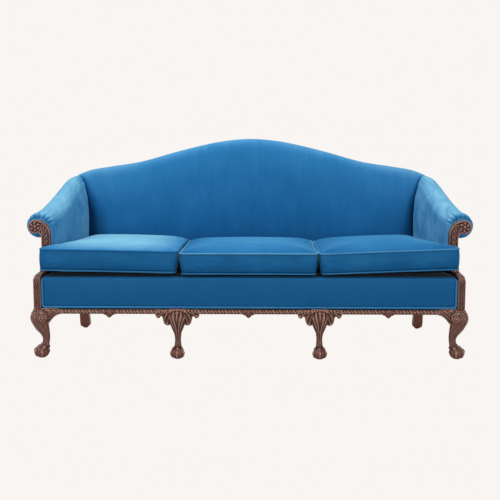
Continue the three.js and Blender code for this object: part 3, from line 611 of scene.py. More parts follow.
def run_tree(build, piece, **values):
    """Runs a node tree on a piece and keeps the result as a plain mesh."""
    tree, sockets = shared(build)
    modifier = piece.modifiers.new(tree.name, "NODES")
    modifier.node_group = tree
    for name, value in values.items():
        modifier[sockets[name]] = value
    baked(piece)
    face_outward(piece, CORD_WELD)
    return piece


def welts(name, rows, radius, step, key="velvet_welt", closed=False):
    """Cords along rows of points, as one piece."""
    return run_tree(welt_tree, line_piece(name, rows, closed), radius=radius * MM, step=step * MM,
                    sides=10, material=material_of(key))


def new_group(name, **inputs):
    """A shader group that takes a vector and these numbers, with its inputs as sockets."""
    tree = bpy.data.node_groups.new(name, "ShaderNodeTree")
    for label, default in inputs.items():
        kind = "NodeSocketVector" if default is None else "NodeSocketFloat"
        socket = tree.interface.new_socket(label.replace("_", " "), in_out="INPUT", socket_type=kind)
        if default is not None:
            socket.default_value = default
    return tree, tree.nodes.new("NodeGroupInput").outputs


def end_group(tree, **values):
    for label in values:
        tree.interface.new_socket(label, in_out="OUTPUT", socket_type="NodeSocketFloat")
    add_node(tree, "NodeGroupOutput", values)
    return tree


def use_group(tree, build, **values):
    """Places a shared group in a material with its own values, and gives its outputs."""
    values = {label.replace("_", " "): value for label, value in values.items()}
    return add_node(tree, "ShaderNodeGroup", values, node_tree=shared(build)).outputs


def math_node(tree, operation, a, b, clamp=False):
    return add_node(tree, "ShaderNodeMath", {0: a, 1: b}, operation=operation, use_clamp=clamp).outputs[0]


def noise_node(tree, vector, scale, detail, rough, distortion=0.0):
    return add_node(tree, "ShaderNodeTexNoise", {
        "Vector": vector, "Scale": scale, "Detail": detail, "Roughness": rough, "Distortion": distortion,
    }).outputs["Fac"]


def stretched(tree, vector, scale, turn=(0, 0, 0)):
    values = {"Vector": vector, "Scale": scale, "Rotation": turn}
    return add_node(tree, "ShaderNodeMapping", values).outputs["Vector"]


def blend_node(tree, factor, a, b):
    """Mixes two colours, each a socket or a tuple of three values."""
    a, b = ((*value, 1) if isinstance(value, tuple) else value for value in (a, b))
    return add_node(tree, "ShaderNodeMix", {0: factor, 6: a, 7: b}, data_type="RGBA").outputs[2]


def range_node(tree, value, low, high, new_low=0.0, new_high=1.0):
    values = {0: value, 1: low, 2: high, 3: new_low, 4: new_high}
    return add_node(tree, "ShaderNodeMapRange", values).outputs[0]


def attribute_node(tree, name):
    return add_node(tree, "ShaderNodeAttribute", attribute_name=name).outputs["Fac"]


def nap_group():
    """Velvet's pile: a fine weave, soft crushed patches and streaks left by a hand."""
    tree, entry = new_group("velvet_nap", Vector=None, Brushed_Vector=None, Weave_Scale=900.0,
                            Patch_Scale=7.0, Streak_Scale=26.0)
    weave = noise_node(tree, entry["Vector"], entry["Weave Scale"], 2.0, 0.6)
    patches = noise_node(tree, entry["Vector"], entry["Patch Scale"], 4.0, 0.55, 0.4)
    streaks = noise_node(tree, entry["Brushed Vector"], entry["Streak Scale"], 5.0, 0.6, 0.8)
    slub = stretched(tree, entry["Vector"], (1.0, 1.0, 0.12))
    threads = noise_node(tree, slub, entry["Weave Scale"], 1.0, 0.5)
    height = math_node(tree, "ADD", weave, math_node(tree, "MULTIPLY", threads, 0.5))
    return end_group(tree, Weave=weave, Patches=patches, Streaks=streaks, Height=height)


def grain_group():
    """Straight wood grain with pores and slow colour change along the board."""
    tree, entry = new_group("wood_grain", Vector=None, Grain_Scale=90.0, Band_Scale=9.0)
    grain = noise_node(tree, entry["Vector"], entry["Grain Scale"], 5.0, 0.65, 0.3)
    bands = noise_node(tree, entry["Vector"], entry["Band Scale"], 3.0, 0.5, 1.2)
    tone = math_node(tree, "ADD", math_node(tree, "MULTIPLY", grain, 0.6),
                     math_node(tree, "MULTIPLY", bands, 0.5), clamp=True)
    pores = range_node(tree, grain, 0.35, 0.5)
    return end_group(tree, Grain=grain, Bands=bands, Tone=tone, Height=pores)


def wear_and_painted_light_group():
    """Masks for hollows, darkened as dirt and as painted shade, and for ridges, lightened as rubbed polish
    and as painted highlight, broken up by noise.
    """
    tree, entry = new_group("carving_wear", Vector=None, Recess=0.0, Break_Scale=120.0)
    broken = noise_node(tree, entry["Vector"], entry["Break Scale"], 3.0, 0.6)
    swing = range_node(tree, broken, 0.3, 0.7, -0.12, 0.12)
    moved = math_node(tree, "ADD", entry["Recess"], swing)
    return end_group(tree, Hollows=range_node(tree, moved, -0.08, 0.42),
                     Ridges=range_node(tree, moved, -0.35, -0.9))


# Materials


def new_material(name, **constants):
    """A material with a Principled shader whose constant sockets are set."""
    material = bpy.data.materials.new(name)
    material.use_nodes = True
    tree = material.node_tree
    tree.nodes.clear()
    constants = {label.replace("_", " "): value for label, value in constants.items()}
    shader = add_node(tree, "ShaderNodeBsdfPrincipled", constants)
    add_node(tree, "ShaderNodeOutputMaterial", {0: shader.outputs[0]})
    return material, tree, shader, tree.nodes.new("ShaderNodeTexCoord").outputs["Object"]


def end_material(tree, shader, colour, rough, height, distance, strength):
    """Links the colour and roughness, and a bump of a distance in metres."""
    bump = add_node(tree, "ShaderNodeBump", {"Height": height, "Distance": distance, "Strength": strength})
    ends = {"Base Color": colour, "Roughness": rough, "Normal": bump.outputs[0]}
    for label, value in ends.items():
        tree.links.new(value, shader.inputs[label])


def shaded(colour, shade):
    return tuple(channel * shade for channel in colour)


VELVET_MIDDLE = 0.35
VELVET_TURNED = 0.58
BRUSH_STRETCH = (1.0, 0.35, 0.22)
BRUSH_TURN = (0.2, 0.5, 0.3)


def velvet_material(name, colours, brushed=0.0, lift=0.0, crushed=0.025, along=BRUSH_STRETCH,
                    turn=BRUSH_TURN):
    """Blue velvet: brushed is how much lighter streaks show, lift raises the whole tone, painted light with
    the pile's lean, crushed how strong its soft patches are, and along and turn stretch the streaks."""
    material, tree, shader, place = new_material(
        name, Sheen_Weight=colours.sheen, Sheen_Roughness=0.32, Sheen_Tint=(0.25, 0.75, 1.0, 1),
        Specular_IOR_Level=0.03)
    strokes = stretched(tree, place, along, turn)
    nap = use_group(tree, nap_group, Vector=place, Brushed_Vector=strokes)
    patches = range_node(tree, nap["Patches"], 0.3, 0.7, -crushed, crushed)
    streaks = range_node(tree, nap["Streaks"], 0.35, 0.68, 0.0, brushed)
    weave = range_node(tree, nap["Weave"], 0.3, 0.7, -0.08, 0.08)
    tone = math_node(tree, "ADD", math_node(tree, "ADD", patches, streaks),
                     math_node(tree, "ADD", weave, VELVET_MIDDLE + lift))
    # The nap attribute adds each piece's painted light and painted shade to the tone, with the lean of its
    # pile.
    tone = math_node(tree, "ADD", tone, attribute_node(tree, "nap"), clamp=True)
    colour = tuple(colours.velvet_deep)
    for low, high, lighter in ((0.0, VELVET_MIDDLE, colours.velvet),
                               (VELVET_MIDDLE, VELVET_TURNED, colours.velvet_bright),
                               (VELVET_TURNED, 1.0, colours.velvet_light)):
        colour = blend_node(tree, range_node(tree, tone, low, high), colour, tuple(lighter))
    rough = range_node(tree, tone, 0.0, 1.0, 0.95, 0.75)
    end_material(tree, shader, colour, rough, nap["Height"], 0.0004, 0.25)
    return material


def carved_material(name, colours, shade=1.0):
    """Carved mahogany under worn polish: hollows darkened as dirt and painted shade, ridges lightened as
    rubbed polish and painted highlight, and fine grain.
    """
    material, tree, shader, place = new_material(name, Coat_Weight=0.5, Coat_Roughness=0.17,
                                                 Specular_IOR_Level=0.3)
    grain = use_group(tree, grain_group, Vector=stretched(tree, place, (1.0, 1.0, 0.12)))
    wear_and_light = use_group(tree, wear_and_painted_light_group, Vector=place, Recess=attribute_node(tree, "recess"))
    dark = shaded(colours.mahogany_dark, shade)
    wood = blend_node(tree, grain["Tone"], dark, shaded(colours.mahogany, shade))
    # Ridges take the rubbed colour, part real wear and part painted highlight; hollows go almost black, part
    # dirt and part painted shade.
    wood = blend_node(tree, wear_and_light["Ridges"], wood, shaded(colours.mahogany_worn, shade))
    wood = blend_node(tree, wear_and_light["Hollows"], wood, shaded(dark, 0.12))
    rough = math_node(tree, "ADD", range_node(tree, grain["Grain"], 0.3, 0.7, 0.32, 0.46),
                      math_node(tree, "MULTIPLY", wear_and_light["Hollows"], 0.35))
    end_material(tree, shader, wood, rough, grain["Height"], 0.0002, 0.4)
    return material


def plain_wood_material(name, light, dark):
    """Unfinished frame timber."""
    material, tree, shader, place = new_material(name, Specular_IOR_Level=0.35)
    along = stretched(tree, place, (0.12, 1.0, 1.0))
    grain = use_group(tree, grain_group, Vector=along, Grain_Scale=60.0, Band_Scale=14.0)
    rough = range_node(tree, grain["Grain"], 0.3, 0.7, 0.6, 0.8)
    end_material(tree, shader, blend_node(tree, grain["Tone"], dark, light), rough, grain["Height"],
                 0.0003, 0.5)
    return material


def woven_cloth_material(name, colour, scale):
    """Plain woven lining: crossed threads with small slubs."""
    material, tree, shader, place = new_material(name, Specular_IOR_Level=0.15, Sheen_Weight=0.15)
    nap = use_group(tree, nap_group, Vector=place, Brushed_Vector=place, Weave_Scale=scale,
                    Patch_Scale=5.0)
    waves = [add_node(tree, "ShaderNodeTexWave", {"Scale": scale / 3, "Distortion": 0.4, "Vector": place},
                      bands_direction=turn).outputs["Fac"] for turn in ("X", "Y")]
    threads = math_node(tree, "MULTIPLY", *waves)
    tone = math_node(tree, "ADD", math_node(tree, "MULTIPLY", threads, 0.5),
                     math_node(tree, "MULTIPLY", nap["Weave"], 0.6), clamp=True)
    rough = range_node(tree, tone, 0.0, 1.0, 0.95, 0.85)
    end_material(tree, shader, blend_node(tree, tone, shaded(colour, 0.45), colour), rough, threads,
                 0.0005, 0.5)
    return material


def steel_material(name):
    """Tempered spring wire with a dull oil film."""
    material, tree, shader, place = new_material(name, Metallic=1.0)
    grain = use_group(tree, grain_group, Vector=place, Grain_Scale=200.0, Band_Scale=20.0)
    colour = blend_node(tree, grain["Bands"], (0.16, 0.16, 0.17), (0.42, 0.43, 0.45))
    rough = range_node(tree, grain["Grain"], 0.3, 0.7, 0.3, 0.5)
    end_material(tree, shader, colour, rough, grain["Height"], 0.0001, 0.3)
    return material


MATERIALS = {}


def material_of(key):
    """The sofa's finishes, each made when it is first asked for."""
    colours = bpy.context.scene.sofa_colours
    makers = {
        "velvet": (velvet_material, "velvet", colours, 0.05),
        "velvet_flat": (velvet_material, "velvet_flat", colours, 0.02, 0.0, 0.01),
        "velvet_cushion": (velvet_material, "velvet_cushion", colours, 0.07, 0.02, 0.04,
                           (0.25, 0.6, 1.3), (0.0, 0.0, 0.0)),
        # The arm's copy is lifted all over, painted light with its brushed pile; the welts' copy is lifted
        # further, a painted highlight along the cords.
        "velvet_arm": (velvet_material, "velvet_arm", colours, 0.2, 0.2, 0.06),
        "velvet_welt": (velvet_material, "velvet_welt", colours, 0.0, 0.42),
        "mahogany": (carved_material, "carved_mahogany", colours),
        # A lighter copy for the back posts, painted light on posts that stand in shade under the seat.
        "mahogany_plain": (carved_material, "plain_mahogany", colours, 1.8),
        # A darker copy of the mahogany for the rope, painted shade.
        "mahogany_rope": (carved_material, "rope_mahogany", colours, 0.78),
        # A much darker copy for the moulding strips and fillets, painted shade on the ground between the
        # rope's beads.
        "mahogany_ground": (carved_material, "mahogany_ground", colours, 0.3),
        "hardwood": (plain_wood_material, "frame_timber", tuple(colours.timber), (0.23, 0.13, 0.06)),
        "deck_cloth": (woven_cloth_material, "deck_cloth", (0.006, 0.022, 0.05), 700.0),
        "dust_cloth": (woven_cloth_material, "dust_cloth", (0.03, 0.03, 0.034), 900.0),
        "spring_steel": (steel_material, "spring_steel"),
    }
    if key not in MATERIALS:
        make, *values = makers[key]
        MATERIALS[key] = make(*values)
    return MATERIALS[key]


# Sizes and colours that a user would change


def length_property(name, description, default, low, high):
    return bpy.props.FloatProperty(name=name, description=description, default=default, min=low,
                                   max=high, unit="LENGTH")


def colour_property(name, description, default):
    return bpy.props.FloatVectorProperty(name=name, description=description, default=default, size=3,
                                         min=0, max=1, subtype="COLOR")


class SofaSizes(bpy.types.PropertyGroup):
    """Sizes of the upholstery, in metres."""

    welt: length_property("Cushion welt", "Radius of the welts round the cushions", 0.0031, 0.001, 0.006)
    panel_welt: length_property(
        "Panel welt", "Radius of the thick welt on the front panel", 0.0048, 0.002, 0.008)
    cushion_swell: length_property(
        "Cushion swell", "How far a point of a cushion may move while it is filled", 0.014, 0.0, 0.03)
    crown: length_property(
        "Cushion crown", "Height of a cushion's crown over its upper welt before filling", 0.024, 0.0, 0.05)
    pleat: length_property("Arm pleats", "Depth of the pleats round each scroll", 0.006, 0.0, 0.01)


class SofaColours(bpy.types.PropertyGroup):
    """Colours of the finishes."""

    # The velvet's tones, deep to light, follow its tone, which carries painted light and painted shade as
    # well as the pile's lean: the deep one is the painted shade in gaps and creases, the light one the
    # painted light on tops.
    velvet_deep: colour_property(
        "Velvet, deep", "Velvet with its pile leaning to the eye", (0.0008, 0.017, 0.052))
    velvet: colour_property("Velvet", "Velvet with its pile upright", (0.0085, 0.093, 0.238))
    velvet_bright: colour_property(
        "Velvet, bright", "Velvet with its pile beginning to lean away", (0.024, 0.158, 0.35))
    velvet_light: colour_property(
        "Velvet, light", "Velvet with its pile leaning away", (0.175, 0.405, 0.53))
    sheen: bpy.props.FloatProperty(
        name="Velvet sheen", description="Strength of the soft light along the velvet's turned edges",
        default=0.4, min=0, max=1, subtype="FACTOR")
    mahogany: colour_property("Mahogany", "Polished show wood", (0.182, 0.056, 0.031))
    mahogany_dark: colour_property(
        "Mahogany, dark grain", "Darker grain of the show wood", (0.07, 0.021, 0.013))
    # The rubbed colour is also the painted highlight on the carving's ridges.
    mahogany_worn: colour_property("Mahogany, rubbed", "Rubbed ridges of the carving", (0.38, 0.175, 0.115))
    timber: colour_property("Frame timber", "Hidden hardwood frame", (0.52, 0.34, 0.18))
    studio: colour_property("Studio", "Floor and backdrop", (0.947, 0.913, 0.888))


# Studio

CAMERA_PLACE = (69.1, -3772.8, 917.1)
CAMERA_PITCH = math.radians(6.508)
CAMERA_YAW = math.radians(0.951)
CAMERA_LENS = 62.21
CAMERA_SENSOR = 36
CAMERA_END = 100
FLOOR_REACH = 30.0
FLOOR_BOUNCE = 0.7
SKY_COLOUR = (0.93, 0.95, 1.0)
SKY_STRENGTH = 0.62
SEAT_MIDDLE = (0, 0, 0.5)
WHITE = (1.0, 1.0, 1.0)

# Name, place, target, size, power and colour of each light
LIGHTS = [
    ("key", (-2.0, -2.4, 2.4), SEAT_MIDDLE, (0.6, 0.5), 14, (1.0, 0.98, 0.95)),
    ("top", (0.0, -0.35, 2.5), (0, 0.05, 0.5), (3.0, 0.9), 44, WHITE),
    ("right", (2.6, -3.6, 1.4), SEAT_MIDDLE, (2.4, 2.0), 29, WHITE),
    ("left", (-3.0, -0.6, 1.9), SEAT_MIDDLE, (1.4, 1.4), 14, WHITE),
    ("low", (-1.2, -3.4, 0.35), (0, 0.2, 0.2), (1.6, 0.3), 8, WHITE),
]


def two_faced(owner, output, seen, cast):
    """Gives the camera one shader and everything that is lit another; both are (kind, inputs)."""
    owner.use_nodes = True
    tree = owner.node_tree
    tree.nodes.clear()
    cast, seen = (add_node(tree, kind, inputs).outputs[0] for kind, inputs in (cast, seen))
    path = add_node(tree, "ShaderNodeLightPath").outputs["Is Camera Ray"]
    either = add_node(tree, "ShaderNodeMixShader", {0: path, 1: cast, 2: seen})
    add_node(tree, output, {0: either.outputs[0]})
    return owner


def studio_world(colour):
    """Pale surroundings: full brightness for the backdrop, softer as light on the sofa."""
    bpy.context.scene.world = two_faced(
        bpy.data.worlds.new("studio"), "ShaderNodeOutputWorld",
        ("ShaderNodeBackground", {"Color": (*colour, 1)}),
        ("ShaderNodeBackground", {"Color": (*SKY_COLOUR, 1), "Strength": SKY_STRENGTH}))


def floor_material(colour):
    """Pale studio floor: it glows as the backdrop does, and bounces a softer light."""
    return two_faced(
        bpy.data.materials.new("studio_floor"), "ShaderNodeOutputMaterial",
        ("ShaderNodeEmission", {"Color": (*colour, 1)}),
        ("ShaderNodeBsdfDiffuse", {"Color": (*shaded(colour, FLOOR_BOUNCE), 1)}))


def studio_light(name, place, target, size, power, colour):
    lamp = bpy.data.lights.new(name, "AREA")
    lamp.shape = "RECTANGLE"
    lamp.size, lamp.size_y = size
    lamp.energy = power
    lamp.color = colour
    piece = add_object(name, lamp)
    piece.visible_camera = False
    piece.location = place
    piece.rotation_euler = (Vector(target) - Vector(place)).to_track_quat("-Z", "Y").to_euler()


class SOFA_OT_stage(bpy.types.Operator):
    """Floor, backdrop, soft lights and the camera"""

    bl_idname = "sofa.stage"
    bl_label = "Stage"

    def execute(self, context):
        colour = tuple(context.scene.sofa_colours.studio)
        studio_world(colour)
        mesh = bpy.data.meshes.new("studio_floor")
        corners = [(-1, -1), (1, -1), (1, 1), (-1, 1)]
        mesh.from_pydata([(x * FLOOR_REACH, y * FLOOR_REACH, 0) for x, y in corners], [], [(0, 1, 2, 3)])
        mesh.materials.append(floor_material(colour))
        add_object("studio_floor", mesh)
        for light in LIGHTS:
            studio_light(*light)
        data = bpy.data.cameras.new("camera")
        data.lens = CAMERA_LENS
        data.sensor_width = CAMERA_SENSOR
        data.clip_end = CAMERA_END
        camera = add_object("camera", data)
        camera.location = to_frame(CAMERA_PLACE)
        way = Vector((-math.sin(CAMERA_YAW) * math.cos(CAMERA_PITCH),
                      math.cos(CAMERA_YAW) * math.cos(CAMERA_PITCH), -math.sin(CAMERA_PITCH)))
        camera.rotation_euler = way.to_track_quat("-Z", "Y").to_euler()
        context.scene.camera = camera
        context.scene.view_settings.view_transform = "Standard"
        return {"FINISHED"}


# Frame timber, springs and linings

BOTH_ENDS = ("left", "right")
TIMBER_NODES = ["front_rail", "rear_rail", "top_rail", "lower_back_rail"]
TIMBER_NODES += [f"{stem}_{side}" for side in BOTH_ENDS for stem in
                 ("side_rail", "corner_brace_front", "corner_brace_rear", "arm_rail", "lower_arm_rail",
                  "seat_brace", "upright")]
FINISHED_NODES = {
    "hardwood": TIMBER_NODES,
    "spring_steel": ["spring_unit_left", "spring_unit_centre", "spring_unit_right"],
    # The back posts take the lighter mahogany copy, painted light.
    "mahogany_plain": ["rear_post_right", "rear_post_left"],
    # The moulding strips take the darker mahogany copy, painted shade.
    "mahogany_ground": ["moulding_left", "moulding_centre", "moulding_right"],
}


class SOFA_OT_timber(bpy.types.Operator):
    """Finishes of the timber frame, the springs, the back posts and the moulding strips"""

    bl_idname = "sofa.timber"
    bl_label = "Frame and springs"

    def execute(self, context):
        for key, names in FINISHED_NODES.items():
            for name in names:
                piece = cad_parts[name]
                piece.data.materials.clear()
                piece.data.materials.append(material_of(key))
        return {"FINISHED"}


DECK_INSET = 39.3
DECK_EDGE_DROP = 6
DECK_EDGE_WIDTH = 12
DECK_TOP_GAP = 0.4
DECK_BOTTOM_GAP = 0.2
DECK_SEAM_DEPTH = 1.5
DECK_SEAM_WIDTH = 3
DECK_CROSS_SEAM = 150
COVER_INSET = 15
COVER_HALF = 885
COVER_INNER_HALF = 826.7
COVER_TUCK = 46
COVER_SAG = 5
COVER_SAG_WIDTH = 200
COVER_RIPPLE = 0.5
COVER_RIPPLE_WIDTH = 60
COVER_THICK = 1.0
COVER_GAP = 0.2
COVER_TUCKED = 0.0001


def box_depths(node):
    """A CAD node's box in millimetres, and its front and back depth in the part's source."""
    low, high = (np.array(corner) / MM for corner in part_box(node))
    return low, high, low[1] - SHIFT / MM, high[1] - SHIFT / MM


class SOFA_OT_linings(bpy.types.Operator):
    """Seat deck over the springs and the dust cover under the seat"""

    bl_idname = "sofa.linings"
    bl_label = "Seat deck and dust cover"

    def execute(self, context):
        low, high, front, back = box_depths("seat_deck")
        x, y = lattice(lines((-1, 1, 120)), lines((front, back, 44)))
        half = outer_face(y) - DECK_INSET
        edge = np.minimum.reduce([(1 - np.abs(x)) * half, y - front, back - y])
        soft = DECK_EDGE_DROP * edge_fall(edge, DECK_EDGE_WIDTH) ** 2
        seam = sum(np.exp(-((x * half - way * CUSHION_SPLIT) / DECK_SEAM_WIDTH) ** 2) for way in (-1, 1))
        cross = np.exp(-((y - DECK_CROSS_SEAM) / DECK_SEAM_WIDTH) ** 2)
        skin = high[2] - DECK_TOP_GAP - soft - DECK_SEAM_DEPTH * np.maximum(seam, cross)
        base = np.full_like(x, low[2] + DECK_BOTTOM_GAP)
        deck = slab_piece("seat_deck_cloth", all_cells(x), np.stack([x * half, y, skin], axis=-1),
                          np.stack([x * half, y, base], axis=-1))
        finish(deck, "deck_cloth", ["seat_deck"])
        self.dust_cover()
        return {"FINISHED"}

    def dust_cover(self):
        """A thin cloth under the frame, cut out at its rear corners for the legs."""
        _, high, front, tuck = box_depths("dust_cover")
        back = tuck - COVER_TUCK
        share = COVER_INNER_HALF / COVER_HALF
        side_steps, back_steps = 4, 34
        across = lines((-1, -share, side_steps), (-share, share, 90), (share, 1, side_steps))
        x, y = lattice(across, lines((front, back, back_steps), (back, tuck, 3)))
        half = outer_face(np.minimum(y, back)) - COVER_INSET
        inner = np.minimum(COVER_INNER_HALF, half)
        beyond = np.sign(x) * mix(inner, half, (np.abs(x) - share) / (1 - share))
        wide = np.where(np.abs(x) <= share + COVER_TUCKED, x / share * inner, beyond)
        cells = all_cells(x)
        cells[:side_steps, back_steps:] = False
        cells[-side_steps:, back_steps:] = False
        edge = np.minimum.reduce([half - np.abs(wide), y - front, tuck - y])
        sag = COVER_SAG * np.clip(edge / COVER_SAG_WIDTH, 0, 1) ** 0.7
        ripple = COVER_RIPPLE * np.sin(wide / 23 + y / 41) * np.clip(edge / COVER_RIPPLE_WIDTH, 0, 1)
        top = np.stack([wide, y, high[2] - COVER_GAP - sag + ripple], axis=-1)
        cover = slab_piece("dust_cover_cloth", cells, top, top - np.array([0, 0, COVER_THICK]))
        finish(cover, "dust_cloth", ["dust_cover"])


# Front panel

PANEL_END_MARGIN = 30
PANEL_TOP_MARGIN = 24
PANEL_CORNER = 14
PANEL_SKIN = 1.5
PANEL_CROWN = 3.5
GROOVE_WIDTH = 2.2
GROOVE_DEPTH = 2.4
BAND_DEPTH = 2.0
PANEL_DIP = 7
# Painted light on the panel's velvet by height: lighter toward the top, with a painted shadow along its top
# edge under the cushions.
PANEL_PAINTED_LIGHT_HEIGHTS = [PANEL_BOTTOM, 300, 345, PANEL_TOP - 8, PANEL_TOP - 1.5, PANEL_TOP - 0.4]
PANEL_PAINTED_LIGHT = [-0.02, 0.0, 0.04, 0.1, 0.08, -0.6]
# The panel's welt is made darker than the other welts.
PANEL_WELT_DARKER = -0.16
PANEL_WELT_END = 18
PANEL_WELT_BEND = 10
PANEL_WELT_DEPTH = 1.8
PANEL_WELT_TUCK = 4


class SOFA_OT_front_panel(bpy.types.Operator):
    """Padded front panel with its thick welt along the bottom and both ends"""

    bl_idname = "sofa.front_panel"
    bl_label = "Front panel"

    def execute(self, context):
        radius = context.scene.sofa_sizes.panel_welt / MM
        panel = self.panel(2 * radius + 0.5)
        finish(panel, "velvet_flat", ["front_panel"])
        welt = welts("front_panel_welt", [self.welt_line(radius)], radius, step=6)
        set_nap_and_painted_light(welt, PANEL_WELT_DARKER)
        finish(welt, "velvet_welt")
        return {"FINISHED"}

    def panel(self, groove_place):
        """The panel's cloth, drawn in beside the welt at a distance from its edges."""
        end_line = PANEL_HALF_WIDTH - PANEL_END_MARGIN
        low_line = PANEL_BOTTOM + PANEL_END_MARGIN
        high_line = PANEL_TOP - PANEL_TOP_MARGIN
        across = lines((-PANEL_HALF_WIDTH, -end_line, 10), (-end_line, end_line, 150),
                       (end_line, PANEL_HALF_WIDTH, 10))
        rows = lines((PANEL_BOTTOM, low_line, 10), (low_line, high_line, 12), (high_line, PANEL_TOP, 10))
        x, z = lattice(across, rows)
        end = PANEL_HALF_WIDTH - np.abs(x)
        under = z - PANEL_BOTTOM
        over = PANEL_TOP - z
        deep = edge_fall(end, PANEL_CORNER) ** 2 + edge_fall(over, PANEL_CORNER) ** 2
        pull = PANEL_CORNER - PANEL_CORNER * np.sqrt(1 - np.minimum(deep, 1))
        crown = np.clip(over / 70, 0, 1) * np.clip(under / 60, 0, 1) * np.clip(end / 120, 0, 1) ** 0.5
        groove = np.maximum(np.exp(-((under - groove_place) / GROOVE_WIDTH) ** 2),
                            np.exp(-((end - groove_place) / GROOVE_WIDTH) ** 2) * (over > 4))
        band = np.maximum(under < groove_place, end < groove_place)
        y = PANEL_FRONT + PANEL_SKIN - PANEL_CROWN * crown + pull + GROOVE_DEPTH * groove + BAND_DEPTH * band
        dip = PANEL_DIP * edge_fall(end, 26) ** 2 * edge_fall(over, 80)
        z = z - dip * (1 - over / (PANEL_TOP - PANEL_BOTTOM))
        panel = slab_piece("front_panel_cover", all_cells(x), np.stack([x, y, z], axis=-1),
                           np.stack([x, np.full_like(x, PANEL_BACK), z], axis=-1))
        height = coordinates(panel.data)[:, 2] / MM
        # Painted light and painted shadow by height, as listed above.
        set_nap_and_painted_light(panel, np.interp(height, PANEL_PAINTED_LIGHT_HEIGHTS, PANEL_PAINTED_LIGHT))
        return panel

    def welt_line(self, radius):
        """The welt's path from the top left down, along the bottom and up again."""
        half = PANEL_HALF_WIDTH - radius
        low = PANEL_BOTTOM + radius
        top = PANEL_TOP - PANEL_WELT_END
        bend = PANEL_WELT_BEND
        right = [(half - bend * (1 - math.sin(a)), low + bend * (1 - math.cos(a)))
                 for a in np.linspace(0, math.pi / 2, 6)]
        right += [(half, mix(low + bend, top, t)) for t in np.linspace(0.05, 1, 14)]
        right.append((half - 3, top + 9))
        left = [(-x, z) for x, z in right][::-1]
        middle = [(x, low) for x in np.linspace(-half + bend, half - bend, 160)[1:-1]]
        near = PANEL_FRONT + PANEL_WELT_DEPTH
        return [(x, near + (PANEL_WELT_TUCK if z > top else 0), z) for x, z in left + middle + right]


# Inside and outside back

SECTION_SAMPLES = 46
BACK_COLUMNS = 161
BACK_END = 14
BACK_END_ROUND = 6
BACK_END_DROP = 3
BACK_END_WALL = 4.5
BACK_FACE_DEPTH = 60
BACK_SHOULDER = 50
BACK_COLUMN_EASE = 0.35
BACK_CAP_INSET = 0.3
# Painted light and shade on the inside back: lighter near the crest and darker low down, by depth under the
# crest, and a painted shade beside each arm's crease, whose place and width go by height.
BACK_PAINTED_LIGHT_DEPTHS = [0, 22, 50, 110, 180, 300, 450, 560]
BACK_PAINTED_LIGHT = [0.3, 0.22, 0.14, 0.1, 0.05, 0.0, -0.06, -0.12]
CREASE_HEIGHTS = [480, 597, 683, 739, 790]
CREASE_PLACES = [820, 820, 828, 842, 860]
CREASE_SHADE_HEIGHTS = [480, 600, 700, 790]
CREASE_SHADE_WIDTHS = [135, 100, 45, 18]
BESIDE_ARM_PAINTED_SHADE = -0.5
OUTSIDE_WELT = 3.0
OUTSIDE_WELT_RISE = 6


def back_section(x):
    """Depth and height of the inside back's skin at a place across it, from its foot over the crest."""
    top = crest(x)
    low = top - ROLL_DEPTH
    fade = max(0.0, 1 - (abs(x) / ARM_INNER_BACK) ** 4)
    face = [(-BACK_BULGE * out * fade, mix(PAD_BOTTOM, low, up)) for up, out in BACK_FACE_SHARES]
    roll = [(BACK_REAR * deep, top - ROLL_DEPTH * down) for deep, down in CREST_ROLL_SHARES]
    return smooth_path(face + [(0, low + ROLL_DEPTH / 2)] + roll, SECTION_SAMPLES)


def pillow(edge, drop, drop_width, swell, swell_width, power):
    """A padded cloth's height over its face: it falls at the edge and swells toward the middle."""
    return swell * np.clip(edge / swell_width, 0, 1) ** power - drop * edge_fall(edge, drop_width) ** 2


